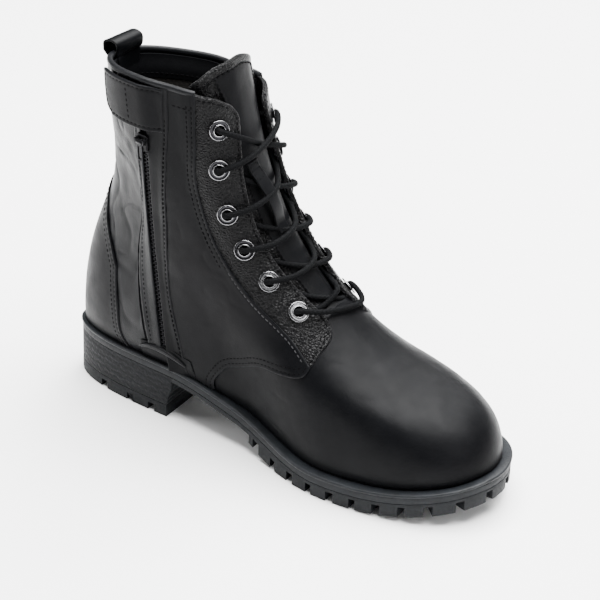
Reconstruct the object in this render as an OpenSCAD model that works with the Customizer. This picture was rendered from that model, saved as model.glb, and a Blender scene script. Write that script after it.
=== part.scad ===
// Left ankle boot for fire crews: leather lace-up upper, zip on the inner side, lugged rubber sole.
// +X points to the toe, +Y to the outer (lateral) side, +Z up; the origin is under the middle, on the ground.

/* [Upper] */
// Thickness of the outer leather panels
leather_t = 1.8; // [1.4:0.1:2.2]
// Thickness of the lined facings that carry the eyelets
facing_t = 2.6; // [2:0.1:3]
// Thickness of the lining
lining_t = 1.0; // [0.6:0.1:1.2]
// Depth of the lining's face under the outer surface
lining_depth = 4.5; // [4:0.1:5]
// Gap left along each seam between two panels
seam_gap = 0.35; // [0.1:0.05:0.6]

/* [Sole] */
// Height of the upper's lower edge at the ball of the foot
ball_z = 15; // [14:0.5:18]
// Rise of the toe
toe_rise = 12; // [10:1:18]
// Rise of the seat from the ball to the heel
heel_rise = 21; // [15:1:24]
// Thickness of the welt
welt_t = 2.4; // [1.5:0.1:3]
// Thickness of the midsole
midsole_t = 4; // [3:0.5:5]
// Depth of the grooves between the lugs
lug_depth = 6.5; // [3:0.5:7]
// Width of a groove between two lugs
groove_w = 5; // [3:0.5:6]
// Distance between the grooves along the forefoot
groove_pitch = 15; // [13:0.5:18]
// Height of the heel's lugged top piece
top_piece_h = 8; // [7:0.5:10]

/* [Lacing] */
// Outer radius of an eyelet's flange
eyelet_r = 5.6; // [4.5:0.1:6]
// Radius of an eyelet's hole
eyelet_hole_r = 2.9; // [2.4:0.1:3]
// Diameter of the lace
lace_d = 3.4; // [2.5:0.1:3.6]

/* [Zip] */
// Distance between two teeth of one row
tooth_pitch = 2.6; // [2.4:0.1:3]
// Width of the slider
slider_w = 8; // [7:0.5:9]
// Length of the slider
slider_l = 11; // [9:0.5:13]
// Length of the puller, from its pin to its tip
puller_l = 13; // [10:1:20]

/* [Hidden] */
$fn = 48;

leather = "#23252a";
suede = "#2b2d33";
rubber = "#2c3036";
cloth = "#1d1b19";
metal = "#7d8188";

// ---- outer surface of the upper ----
// One row per section, from the sole's edge up to the topline:
// front x, front z, back x, back z, inner half widths at ball, waist and heel, outer half widths at the
// same places, squareness of the front and of the back, share of the sole's curve, fall across the collar
SECTIONS = [
  [143,  27, -147,  36, 49, 30, 28, 50, 38, 33, 2.5, 5.0, 1.00, 0],
  [142,  34, -147,  46, 51, 32, 32, 51, 40, 35, 2.7, 5.0, 0.75, 0],
  [137,  46, -146,  58, 49, 33, 33, 50, 41, 35, 2.7, 5.0, 0.40, 0],
  [123,  57, -145,  72, 46, 34, 33, 44, 40, 34, 2.4, 4.6, 0.15, 0],
  [ 96,  64, -142,  90, 42, 34, 31, 36, 38, 32, 2.1, 4.2, 0.00, 0],
  [ 66,  76, -137, 107, 38, 34, 30, 34, 36, 30, 2.0, 3.6, 0.00, 0],
  [ 38,  93, -130, 125, 36, 35, 30, 32, 36, 30, 2.1, 3.2, 0.00, 0],
  [ 13, 117, -124, 143, 35, 35, 30, 31, 36, 31, 2.2, 3.0, 0.00, 0],
  [ -6, 144, -122, 161, 35, 37, 33, 33, 38, 33, 2.3, 2.8, 0.00, 1],
  [-18, 171, -123, 180, 36, 38, 37, 35, 40, 36, 2.3, 2.8, 0.00, 3],
  [-26, 197, -124, 200, 37, 39, 41, 37, 42, 38, 2.3, 2.8, 0.00, 5],
  [-31, 217, -123, 220, 38, 41, 43, 39, 44, 41, 2.3, 2.8, 0.00, 8]
];
COLUMNS = [for (c = [0:13]) [for (row = SECTIONS) row[c]]];
// Places of the ball, the waist and the heel between the front (0) and the back (1)
ball_at = 0.30;
waist_at = 0.56;
heel_at = 0.84;

function mix(a, b, f) = a + (b - a) * f;
function clamp(v) = max(0, min(1, v));
function smooth(f) = f * f * (3 - 2 * f);
function unit(v) = v / norm(v);

// Cubic B-spline along a list of numbers that starts and ends on its first and last number
function spline(v, t) =
  let (last = len(v) - 1, u = clamp(t) * last, i = min(floor(u), last - 1), f = u - i,
       before = i == 0 ? 2 * v[0] - v[1] : v[i - 1],
       after = i + 2 > last ? 2 * v[last] - v[last - 1] : v[i + 2])
  (pow(1 - f, 3) * before + (3 * f * f * f - 6 * f * f + 4) * v[i]
   + (-3 * f * f * f + 3 * f * f + 3 * f + 1) * v[i + 1] + f * f * f * after) / 6;

// Height of the upper's lower edge, and of the outsole's ground side, over the length
function feather_z(x) = x > 45
  ? ball_z + toe_rise * pow(clamp((x - 55) / 90), 2)
  : ball_z + heel_rise * smooth(clamp((45 - x) / 120));

function half_width(a, ball, waist, heel, front_sq, back_sq) =
  let (base = a < ball_at ? ball
         : a < waist_at ? mix(ball, waist, smooth((a - ball_at) / (waist_at - ball_at)))
         : mix(waist, heel, smooth(clamp((a - waist_at) / (heel_at - waist_at)))),
       front = a < ball_at ? sqrt(1 - pow(1 - a / ball_at, front_sq)) : 1,
       back = a > ball_at ? sqrt(max(0, 1 - pow((a - ball_at) / (1 - ball_at), back_sq))) : 1)
  base * front * back;

// Point of the outer surface: s runs from the front (0) over the inner side to the back (0.5) and over the
// outer side to the front again (1, or backwards from 0), t from the sole's edge (0) to the topline (1)
function shape_row(s, c) =
  let (turn = s - floor(s), a = (1 - cos(360 * turn)) / 2,
       inner = half_width(a, c[4], c[5], c[6], c[10], c[11]),
       outer = half_width(a, c[7], c[8], c[9], c[10], c[11]),
       x = mix(c[0], c[2], a), y = turn <= 0.5 ? -inner : outer,
       level = mix(c[1], c[3], a),
       sag = feather_z(mix(143, -147, a)) - mix(feather_z(143), feather_z(-147), a))
  [x, a, y, level + c[12] * sag, c[13]];
function shape_in(s, t) =
  let (r = shape_row(s, [for (column = COLUMNS) spline(column, t)]),
       y = r[2] - 4 * pow(1 - clamp(r[1] / 0.35), 2) * (1 - clamp(t / 0.5)))
  [r[0], y, r[3] - r[4] * y / 40];
function shape(s, t) = t <= 1 ? shape_in(s, t)
  : shape_in(s, 1) + (t - 1) / 0.05 * (shape_in(s, 1) - shape_in(s, 0.95));
function outward(s, height) =
  let (t = max(0, height), step = t > 0.5 ? -0.002 : 0.002, p = shape(s, t),
       along = shape(s + 0.002, t) - shape(s - 0.002, t),
       up = (shape(s, t + step) - p) * sign(step))
  unit(cross(up, along));
function skin(s, t, out) = shape(s, t) + out * outward(s, t);

// Curve through hand-set points, u from 0 to 1
function along(pts, u) =
  let (last = len(pts) - 1, x = clamp(u) * last, i = min(floor(x), last - 1), f = x - i,
       b = pts[i], c = pts[i + 1],
       a = i == 0 ? 2 * b - c : pts[i - 1],
       d = i + 2 > last ? 2 * c - b : pts[i + 2])
  0.5 * (2 * b + (c - a) * f + (2 * a - 5 * b + 4 * c - d) * f * f + (3 * b - a - 3 * c + d) * f * f * f);

// Place inside a four-sided patch with curved sides
function patch(bottom, top, left, right, u, v) =
  let (b1 = bottom[len(bottom) - 1], t1 = top[len(top) - 1])
  (1 - v) * along(bottom, u) + v * along(top, u) + (1 - u) * along(left, v) + u * along(right, v)
  - (1 - u) * (1 - v) * bottom[0] - u * (1 - v) * b1 - (1 - u) * v * top[0] - u * v * t1;

// ---- closed sheet between two grids of points ----
function pulled(p, to, by) = p + (to - p) * min(0.4, by / max(0.001, norm(to - p)));
function trimmed(grid, nu, nv, by) =
  [for (j = [0:nv]) for (i = [0:nu])
    let (k = j * (nu + 1) + i, p = grid[k],
         q = i == 0 ? pulled(p, grid[k + 1], by) : i == nu ? pulled(p, grid[k - 1], by) : p)
    j == 0 ? q + (pulled(p, grid[k + nu + 1], by) - p)
      : j == nu ? q + (pulled(p, grid[k - nu - 1], by) - p) : q];

module sheet(outer, inner, nu, nv) {
  w = nu + 1;
  n = w * (nv + 1);
  quads = [for (j = [0:nv - 1]) for (i = [0:nu - 1]) let (k = j * w + i) [k, k + 1, k + w + 1, k + w]];
  rim = concat([for (i = [0:nu - 1]) [i, i + 1]],
               [for (j = [0:nv - 1]) [j * w + nu, j * w + w + nu]],
               [for (i = [nu:-1:1]) [nv * w + i, nv * w + i - 1]],
               [for (j = [nv:-1:1]) [j * w, j * w - w]]);
  polyhedron(concat(outer, inner),
    concat([for (q = quads) [q[0], q[1], q[2]]], [for (q = quads) [q[0], q[2], q[3]]],
           [for (q = quads) [q[2] + n, q[1] + n, q[0] + n]], [for (q = quads) [q[3] + n, q[2] + n, q[0] + n]],
           [for (e = rim) [e[1], e[0], e[0] + n]], [for (e = rim) [e[1], e[0] + n, e[1] + n]]));
}

// Panel of the upper that fills a patch of the surface, from its outer face to its inner face
module panel(bottom, top, left, right, nu, nv, out, thick) {
  places = [for (j = [0:nv]) for (i = [0:nu]) patch(bottom, top, left, right, i / nu, j / nv)];
  sheet(trimmed([for (p = places) skin(p[0], p[1], out)], nu, nv, seam_gap / 2),
        trimmed([for (p = places) skin(p[0], p[1], out - thick)], nu, nv, seam_gap / 2), nu, nv);
}

function mirrored(pts) = [for (p = pts) [-p[0], p[1]]];
function reversed(pts) = [for (i = [len(pts) - 1:-1:0]) pts[i]];
function shifted(pts) = [for (p = pts) [1 + p[0], p[1]]];

// ---- seams, as places [s, t] ----
sole_t = 0.004;
quarter_foot = [0.286, sole_t];
facing_foot = [0.150, 0.405];
// Lower edge of the quarter over the vamp, from its foot forward to the end of the facing's seam
quarter_edge = [[0.286, sole_t], [0.284, 0.08], [0.272, 0.18], [0.252, 0.24], [0.228, 0.295], [0.200, 0.32],
                [0.178, 0.345], facing_foot];
// End of the facing over the vamp, forward to the throat
facing_end = [facing_foot, [0.122, 0.452], [0.092, 0.488], [0.068, 0.514], [0.052, 0.545]];
// Front edge of the facing, up to the collar
facing_front = [[0.052, 0.545], [0.062, 0.59], [0.074, 0.645], [0.080, 0.70], [0.075, 0.77], [0.064, 0.84],
                [0.048, 0.91], [0.042, 0.98]];
// Seam between the facing and the quarter
facing_seam = [facing_foot, [0.144, 0.49], [0.164, 0.56], [0.178, 0.63], [0.183, 0.70], [0.176, 0.80],
               [0.156, 0.88], [0.137, 0.995]];
// Seam between the quarter and the zip's front strip
zip_seam = [[0.306, sole_t], [0.309, 0.15], [0.308, 0.30], [0.300, 0.44], [0.284, 0.58], [0.262, 0.70],
            [0.238, 0.80], [0.215, 0.90], [0.203, 0.995]];
// Seam between the zip's rear strip and the rear quarter
rear_seam = [[0.342, 0.10], [0.344, 0.25], [0.343, 0.40], [0.339, 0.52], [0.326, 0.64], [0.312, 0.74],
             [0.300, 0.84], [0.290, 0.93]];
// Edge of the heel counter on the inner side
counter_side = [[0.368, sole_t], [0.375, 0.12], [0.377, 0.25], [0.379, 0.38]];
counter_top = [[0.379, 0.38], [0.395, 0.45], [0.418, 0.51], [0.448, 0.575], [0.5, 0.615]];
// Places of the eyelets
EYELETS = [[0.094, 0.562], [0.111, 0.620], [0.126, 0.678], [0.130, 0.745], [0.118, 0.834], [0.098, 0.918]];
LATERAL_EYELETS = [[-0.100, 0.540], [-0.112, 0.605], [-0.120, 0.670], [-0.124, 0.738], [-0.112, 0.822],
                   [-0.098, 0.905]];

// ---- path of the zip: one arc, so that the slider turns about a far axis ----
zip_bottom = [-69.5, -31, 46];
zip_top = [-79.7, -38.5, 202];
zip_bow = 6;
zip_lean = 36;
zip_chord = zip_top - zip_bottom;
zip_up = unit(zip_chord);
zip_side = [-0.84, 0.78, 0];
zip_out = unit(zip_side - (zip_side * zip_up) * zip_up);
zip_r = (zip_chord * zip_chord / 4 + zip_bow * zip_bow) / (2 * zip_bow);
zip_centre = (zip_bottom + zip_top) / 2 - (zip_r - zip_bow) * zip_out;
zip_axis = cross(zip_out, zip_up);
zip_half = asin(norm(zip_chord) / 2 / zip_r);
zip_len = 2 * zip_half * PI / 180 * zip_r;
// Frame of the zip at w: across it towards the toe, up along it, out of the boot
function zip_frame(w) =
  let (a = mix(-zip_half, zip_half, w), radial = cos(a) * zip_out + sin(a) * zip_up,
       up = cos(a) * zip_up - sin(a) * zip_out,
       out = -cos(zip_lean) * zip_axis - sin(zip_lean) * radial)
  [cross(up, out), up, out, zip_centre + zip_r * radial];
function zip_point(w, across, out) =
  let (f = zip_frame(w)) f[3] + across * f[0] + out * f[2];
module on_zip(w) {
  f = zip_frame(w);
  multmatrix([[f[0].x, f[1].x, f[2].x, f[3].x], [f[0].y, f[1].y, f[2].y, f[3].y],
              [f[0].z, f[1].z, f[2].z, f[3].z]]) children();
}
strip_out = 0.4;
tooth_top = -0.2;
tooth_h = 2;
slit_front = 2.2;
slit_rear = -2;
slider_at = 0.90;

// ---- sole ----
sole_n = 72;
function plan_point(s, off) =
  let (d = shape(s + 0.001, 0) - shape(s - 0.001, 0), n = unit([-d.y, d.x]), p = shape(s, 0))
  [p.x + off * n.x, p.y + off * n.y];
// Outline of the sole, off beyond the upper, with the welt narrower round the heel
module plan(off, extra = 2.5) {
  polygon([for (i = [0:sole_n - 1])
    let (s = i / sole_n, x = shape(s, 0).x) plan_point(s, off + extra * smooth(clamp((x + 60) / 60)))]);
}
// Solid between two heights given as lists of [x, z], right across the boot
module slab(top, bottom) {
  translate([0, 80, 0]) rotate([90, 0, 0]) linear_extrude(160) polygon(concat(top, reversed(bottom)));
}
function stations(a, b, n) = [for (i = [0:n]) mix(a, b, i / n)];
function level(a, b, n, dz) = [for (x = stations(a, b, n)) [x, feather_z(x) + dz]];
module layer(dz_top, dz_bottom, off, extra = 2.5, from = -156, to = 156) {
  intersection() {
    slab(level(from, to, 44, dz_top), level(from, to, 44, dz_bottom));
    translate([0, 0, -5]) linear_extrude(80) plan(off, extra);
  }
}
insole_inset = -5.8;
midsole_low = -welt_t - midsole_t - 0.1;
waist_t = 9.5;
breast_x = -69;
lug_start = -5;
function ground_z(x) = x > 55 ? toe_rise * pow(clamp((x - 55) / 90), 2) : 8 * pow(clamp((25 - x) / 30), 2);
forefoot_ground = [for (x = stations(lug_start, 156, 30)) [x, ground_z(x)]];
waist_ground = [for (x = stations(breast_x + 4, lug_start - 0.01, 14)) [x, feather_z(x) - waist_t]];

module outsole_blank() {
  intersection() {
    slab(level(breast_x + 4, 156, 34, midsole_low), concat(waist_ground, forefoot_ground));
    translate([0, 0, -5]) linear_extrude(60) plan(2.2);
  }
}
// Grooves of the forefoot seen from below: straight ones along both edges, fanned ones round the toe and
// bars across the middle
module forefoot_grooves() {
  for (k = [0:7]) {
    x = 1 + groove_pitch * k;
    wide = k % 2 == 0 ? groove_w : groove_w - 1;
    for (side = [-1, 1]) translate([x, side * 50]) square([wide, 44], center = true);
    translate([x + groove_pitch / 2, 0]) square([3, 44], center = true);
  }
  for (a = [-49:18:50]) translate([85, -2]) rotate(a) translate([42, -groove_w / 2]) square([40, groove_w]);
}
// Long grooves behind the edge lugs, joined by an arc round the toe
module ring_groove() {
  ring_x = 98;
  ring_r = 33;
  ring_w = 3.5;
  translate([ring_x, -2, 0]) difference() {
    cylinder(r = ring_r, h = 40);
    translate([0, 0, -1]) cylinder(r = ring_r - ring_w, h = 42);
    translate([-2 * ring_r, -ring_r - 1, -1]) cube([2 * ring_r, 2 * ring_r + 2, 42]);
  }
  for (y = [-ring_r, ring_r - ring_w]) translate([4, y - 2, -1]) cube([ring_x - 3.9, ring_w, 41]);
}
module groove_space()
  slab([for (p = forefoot_ground) p + [0, lug_depth]], [for (p = forefoot_ground) p - [0, 3]]);
module outsole() color(rubber) difference() {
  outsole_blank();
  intersection() {
    groove_space();
    translate([0, 0, -4]) linear_extrude(40) forefoot_grooves();
  }
  intersection() {
    groove_space();
    ring_groove();
  }
}
shank_w = 15;
shank_t = 1.5;
module shank_bar(grow) {
  w = shank_w + 2 * grow;
  top = -welt_t - 0.15;
  intersection() {
    slab(level(-85 - grow, 25 + grow, 20, top + grow),
         level(-85 - grow, 25 + grow, 20, top - shank_t - grow));
    translate([-120, -w / 2, 0]) cube([180, w, 60]);
  }
}
module shank() color(metal) shank_bar(0);
module midsole() color(rubber) difference() {
  layer(-welt_t - 0.1, -welt_t - midsole_t, 2.0);
  shank_bar(0.2);
}
module welt() color("#3a3f46") difference() {
  layer(0, -welt_t, 2.5);
  translate([0, 0, -5]) linear_extrude(80) plan(-5.4, 0);
}
module heel_block() color(rubber) intersection() {
  slab(concat(level(-156, breast_x + 4, 16, midsole_low - 0.1),
              [[breast_x + 10, feather_z(breast_x + 10) - waist_t - 0.1]]),
       concat([[-156, top_piece_h + 0.1], [breast_x, top_piece_h + 0.1]],
              [for (a = [0:15:75]) [breast_x + 9 - 8 * cos(a), top_piece_h + 3 + 11 * sin(a)]]));
  difference() {
    translate([0, 0, -5]) linear_extrude(80) plan(2.0, 0);
    translate([breast_x + 3.8, -60, 0]) cube([20, 120, feather_z(breast_x + 10)]);
  }
}
module heel_top_piece() color(rubber) difference() {
  intersection() {
    translate([-160, -60, 0]) cube([160 + breast_x, 120, top_piece_h]);
    translate([0, 0, -5]) linear_extrude(80) plan(2.0, 0);
  }
  for (x = [-120, -98, -81]) for (side = [-1, 1])
    translate([x, side * 36, 0]) cube([groove_w, 44, 10], center = true);
  translate([-130, -2, -1]) cube([50, 4, 5]);
}
module insole_board() color("#6b5a44") layer(0.3, -welt_t + 0.1, insole_inset, 0);
module footbed() color(cloth) layer(4.6, 0.5, insole_inset, 0);

// ---- outer panels ----
vamp_out = -0.4;
throat = [0, 0.565];
vamp_top = concat(mirrored(quarter_edge), [for (i = [1:4]) [-facing_end[i][0], facing_end[i][1]]], [throat],
                  reversed(facing_end), [for (i = [len(quarter_edge) - 2:-1:0]) quarter_edge[i]]);
vamp_bottom = [for (p = vamp_top) [p[0], sole_t]];
module vamp() color(leather)
  panel(vamp_bottom, vamp_top, [vamp_bottom[0], vamp_top[0]],
        [[quarter_foot[0], sole_t], quarter_foot], 48, 12, vamp_out, leather_t);
module medial_quarter() color(leather)
  panel(concat(reversed(quarter_edge), [[0.296, sole_t], zip_seam[0]]),
        [facing_seam[7], [0.170, 0.995], zip_seam[8]], facing_seam, zip_seam, 16, 16, 0, leather_t);
module lateral_quarter() color(leather)
  panel(shifted(concat(mirrored([[0.342, sole_t], [0.314, sole_t]]), mirrored(quarter_edge))),
        shifted(mirrored([[0.290, 0.995], [0.213, 0.995], facing_seam[7]])),
        shifted(mirrored(concat([[0.342, sole_t]], rear_seam, [[0.290, 0.995]]))),
        shifted(mirrored(facing_seam)), 18, 16, 0, leather_t);
module facing(side) {
  bottom = reversed(facing_end);
  top = [facing_front[7], [0.090, 0.992], facing_seam[7]];
  if (side < 0) panel(bottom, top, facing_front, facing_seam, 8, 18, 0, facing_t);
  else panel(mirrored(facing_end), mirrored(reversed(top)), mirrored(facing_seam), mirrored(facing_front),
             8, 18, 0, facing_t);
}
module rear_quarter_patch(side) {
  left = concat([[0.348, sole_t]], [for (p = rear_seam) [p[0] + 0.004, p[1]]], [[0.292, 0.995]]);
  lower = concat([[0.348, sole_t], [0.358, sole_t]], counter_side, [for (i = [1:4]) counter_top[i]]);
  top = [[0.292, 0.995], [0.345, 0.995], [0.400, 0.995], [0.5, 0.995]];
  right = [[0.5, 0.615], [0.5, 0.80], [0.5, 0.995]];
  if (side < 0) panel(lower, top, left, right, 22, 12, -0.8, leather_t);
  else panel(shifted(mirrored(reversed(lower))), shifted(mirrored(reversed(top))), shifted(mirrored(right)),
             shifted(mirrored(left)), 22, 12, -0.8, leather_t);
}
module medial_rear_quarter() color(leather) rear_quarter_patch(-1);
module lateral_rear_quarter() color(leather) rear_quarter_patch(1);
module counter_patch(out, thick) {
  full_top = concat(counter_top, [for (i = [3:-1:0]) [1 - counter_top[i][0], counter_top[i][1]]]);
  panel([[0.368, sole_t], [0.434, sole_t], [0.5, sole_t], [0.566, sole_t], [0.632, sole_t]], full_top,
        counter_side, [for (p = counter_side) [1 - p[0], p[1]]], 20, 10, out, thick);
}
module heel_counter() color(leather) counter_patch(0, leather_t);
module counter_stiffener() color("#8a8578") counter_patch(-leather_t - 0.4, 1.4);

// Strip of leather between the zip's slit and a seam of the upper; above the slider it drops under the tab
function strip_top(w) = strip_out - 14 * max(0, w - 0.985);
module zip_strip(seam, across, w0, w1, sign_of_side) {
  nv = 20;
  edge = [for (j = [0:nv]) let (w = mix(w0, w1, j / nv)) zip_point(w, across, strip_top(w))];
  edge_in = [for (j = [0:nv]) let (w = mix(w0, w1, j / nv)) zip_point(w, across, strip_top(w) - leather_t)];
  seam_out = [for (j = [0:nv]) let (p = along(seam, j / nv)) skin(p[0], p[1], 0)];
  seam_in = [for (j = [0:nv]) let (p = along(seam, j / nv)) skin(p[0], p[1], -leather_t)];
  nu = 3;
  first = sign_of_side > 0 ? [seam_out, seam_in] : [edge, edge_in];
  second = sign_of_side > 0 ? [edge, edge_in] : [seam_out, seam_in];
  faces = [for (k = [0, 1]) [for (j = [0:nv]) for (i = [0:nu]) mix(first[k][j], second[k][j], i / nu)]];
  sheet(trimmed(faces[0], nu, nv, seam_gap / 2), trimmed(faces[1], nu, nv, seam_gap / 2), nu, nv);
}
module zip_front_strip() color(leather) zip_strip(zip_seam, slit_front, -0.07, 1.13, 1);
module zip_rear_strip() color(leather) zip_strip(rear_seam, slit_rear, 0.0, 1.07, -1);

// ---- toe puff, linings ----
module toe_puff() color("#8a8578")
  panel([for (s = [-0.20:0.05:0.2001]) [s, sole_t]], [for (s = [-0.17:0.0425:0.1701]) [s, 0.30]],
        [[-0.20, sole_t], [-0.17, 0.30]], [[0.20, sole_t], [0.17, 0.30]], 24, 9,
        vamp_out - leather_t - 0.7, 1);
module vamp_lining() color(cloth)
  panel([for (s = [-0.28:0.07:0.2801]) [s, sole_t]],
        [[-0.28, 0.10], [-0.225, 0.28], [-0.15, 0.40], [-0.07, 0.50], [0, 0.54], [0.07, 0.50], [0.15, 0.40],
         [0.225, 0.28], [0.28, 0.10]],
        [[-0.28, sole_t], [-0.28, 0.10]], [[0.28, sole_t], [0.28, 0.10]], 26, 8, -lining_depth, lining_t);
lining_front = [[0.285, 0.10], [0.232, 0.29], [0.160, 0.41], [0.166, 0.50], [0.178, 0.58], [0.190, 0.66],
                [0.190, 0.76], [0.175, 0.86], [0.140, 0.985]];
module lining_patch(side) {
  bottom = [[0.285, 0.10], [0.32, 0.06], [0.38, 0.02], [0.44, 0.02], [0.5, 0.02]];
  top = [[0.140, 0.985], [0.23, 0.985], [0.32, 0.985], [0.41, 0.985], [0.5, 0.985]];
  right = [[0.5, 0.02], [0.5, 0.35], [0.5, 0.66], [0.5, 0.985]];
  if (side < 0) panel(bottom, top, lining_front, right, 18, 16, -lining_depth, lining_t);
  else panel(shifted(mirrored(reversed(bottom))), shifted(mirrored(reversed(top))), shifted(mirrored(right)),
             shifted(mirrored(lining_front)), 18, 16, -lining_depth, lining_t);
}
module medial_lining() color(cloth) lining_patch(-1);
module lateral_lining() color(cloth) lining_patch(1);

// ---- tongue and its keeper ----
// The tongue stands proud in the middle and drops under the facings
function tongue_out(s) = -3.8 - 4.2 * smooth(clamp((abs(s) - 0.02) / 0.06));
tongue_t = 1.8;
tongue_left = [[-0.075, 0.535], [-0.120, 0.66], [-0.130, 0.78], [-0.128, 0.90], [-0.115, 1.00]];
tongue_right = [[0.075, 0.535], [0.120, 0.66], [0.130, 0.78], [0.128, 0.90], [0.155, 0.997]];
tongue_top = [[-0.115, 1.00], [-0.070, 1.065], [-0.010, 1.092], [0.045, 1.068], [0.100, 1.030],
              [0.155, 0.997]];
tongue_bottom = [[-0.075, 0.535], [0, 0.552], [0.075, 0.535]];
module tongue() color(leather) {
  nu = 14;
  nv = 14;
  places = [for (j = [0:nv]) for (i = [0:nu])
    patch(tongue_bottom, tongue_top, tongue_left, tongue_right, i / nu, j / nv)];
  sheet([for (p = places) skin(p[0], p[1], tongue_out(p[0]))],
        [for (p = places) skin(p[0], p[1], tongue_out(p[0]) - tongue_t)], nu, nv);
}
// Strap sewn on the tongue that keeps the crossing laces in place
keeper_places = [[0.036, 0.845], [0.030, 0.80], [0.022, 0.75], [0.016, 0.71]];
keeper_w = 0.014;
module lace_keeper() color(leather) {
  nv = 12;
  lift = function (v) 0.2 + 4.4 * sin(180 * clamp((v - 0.12) / 0.76));
  rows = [for (j = [0:nv]) let (p = along(keeper_places, j / nv), h = tongue_out(0) + lift(j / nv))
    [[p[0] + keeper_w, p[1], h], [p[0], p[1], h], [p[0] - keeper_w, p[1], h]]];
  sheet([for (r = rows) for (p = r) skin(p[0], p[1], p[2] + 1.4 + 0.6)],
        [for (r = rows) for (p = r) skin(p[0], p[1], p[2] + 0.6)], 2, nv);
}

// ---- eyelets and washers, turned square to the surface ----
module on_shape(place, out) {
  n = outward(place[0], place[1]);
  translate(skin(place[0], place[1], out)) rotate([0, acos(n.z), atan2(n.y, n.x)]) children();
}
barrel_r = eyelet_hole_r + 0.4;
module eyelet(place) on_shape(place, 0) {
  rotate_extrude() polygon([[eyelet_hole_r, -facing_t - 1.4], [barrel_r, -facing_t - 1.4], [barrel_r, 0.5],
    [eyelet_r, 0.5], [eyelet_r - 0.2, 1.0], [eyelet_r - 1.2, 1.4], [eyelet_hole_r + 0.6, 1.3],
    [eyelet_hole_r, 0.8]]);
}
module washer(place) on_shape(place, 0)
  rotate_extrude() translate([barrel_r + 0.05, -facing_t - 1.3]) square([1.6, 0.5]);
module eyelet_holes(places) for (p = places) on_shape(p, -6) cylinder(r = barrel_r + 0.1, h = 12);
module medial_facing() color(suede) difference() {
  facing(-1);
  eyelet_holes(EYELETS);
}
module lateral_facing() color(suede) difference() {
  facing(1);
  eyelet_holes(LATERAL_EYELETS);
}
module medial_eyelets() color(metal) for (p = EYELETS) eyelet(p);
module lateral_eyelets() color(metal) for (p = LATERAL_EYELETS) eyelet(p);
module medial_washers() color(metal) for (p = EYELETS) washer(p);
module lateral_washers() color(metal) for (p = LATERAL_EYELETS) washer(p);

// ---- zip ----
module zip_tape() color(cloth) {
  nv = 20;
  rows = [for (j = [0:nv]) mix(-0.01, 1.03, j / nv)];
  sheet([for (w = rows) for (a = [4, 0, -3.2]) zip_point(w, a, tooth_top - tooth_h - 0.05)],
        [for (w = rows) for (a = [4, 0, -3.2]) zip_point(w, a, tooth_top - tooth_h - 0.5)], 2, nv);
}
tooth_n = floor(zip_len * 0.97 / tooth_pitch);
module teeth(side, phase) for (k = [0:tooth_n - 1])
  on_zip(0.015 + (k + phase) * tooth_pitch / zip_len)
    translate([side > 0 ? -0.6 : -1.8, 0, tooth_top - tooth_h]) cube([2.4, 1, tooth_h]);
module zip_teeth_front() color(metal) teeth(1, 0);
module zip_teeth_rear() color(metal) teeth(-1, 0.5);
module stop(w, up) on_zip(w)
  translate([slit_rear + 0.2, up, tooth_top - tooth_h]) cube([slit_front - slit_rear - 0.4, 3, tooth_h]);
module zip_top_stop() color(metal) stop(1, 0);
module zip_bottom_stop() color(metal) stop(0, -1.6);
pin_out = 4.4;
pin_up = 2;
pin_r = 0.7;
slider_corner = 1.5;
module slider_plate() linear_extrude(1.5) union() {
  square([slider_w - 2 * slider_corner, slider_l], center = true);
  square([slider_w, slider_l - 2 * slider_corner], center = true);
  for (x = [-1, 1]) for (y = [-1, 1])
    translate([x * (slider_w / 2 - slider_corner), y * (slider_l / 2 - slider_corner)]) circle(slider_corner);
}
module zip_slider() color(metal) on_zip(slider_at) {
  translate([0, 0, strip_out + 0.5]) slider_plate();
  translate([slit_rear + 0.4, 1 - slider_l / 2, tooth_top + 0.3])
    cube([slit_front - slit_rear - 0.8, slider_l - 2, 1]);
  for (side = [-1, 1])
    translate([side * 3 - 0.6, pin_up - 1.6, strip_out + 1.5]) cube([1.2, 3.2, pin_out - 1]);
  translate([-3.5, pin_up, pin_out]) rotate([0, 90, 0]) cylinder(r = pin_r, h = 7);
}
module zip_puller() color(metal) on_zip(slider_at) translate([0, pin_up, pin_out]) difference() {
  union() {
    translate([-2.1, 0, 0]) rotate([0, 90, 0]) cylinder(r = 1.5, h = 4.2);
    translate([-2.1, -puller_l, -0.6]) cube([4.2, puller_l, 1.2]);
  }
  translate([-3, 0, 0]) rotate([0, 90, 0]) cylinder(r = pin_r + 0.06, h = 6);
  translate([-1.1, -puller_l + 1, -2]) cube([2.2, puller_l - 4.5, 4]);
}

// ---- closure tab over the zip's top, with its hook and loop pads ----
tab_out = 3.2;
tab_t = 1.7;
module closure_tab() color(leather)
  panel([[0.250, 0.882], [0.290, 0.879], [0.325, 0.878], [0.354, 0.880]],
        [[0.250, 0.985], [0.294, 0.985], [0.335, 0.985], [0.375, 0.985]],
        [[0.250, 0.882], [0.250, 0.985]], [[0.354, 0.880], [0.371, 0.898], [0.375, 0.940], [0.375, 0.985]],
        14, 5, tab_out, tab_t);
module pad(out, thick)
  panel([[0.300, 0.898], [0.327, 0.898], [0.355, 0.898]], [[0.300, 0.968], [0.330, 0.968], [0.360, 0.968]],
        [[0.300, 0.898], [0.300, 0.968]], [[0.355, 0.898], [0.360, 0.968]], 6, 2, out, thick);
module hook_pad() color("#15161a") pad(tab_out - tab_t - 0.05, 0.9);
module loop_pad() color("#202126") pad(0.2, 0.9);

// ---- pull loop at the back of the collar ----
loop_w = 22;
loop_t = 1.2;
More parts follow.
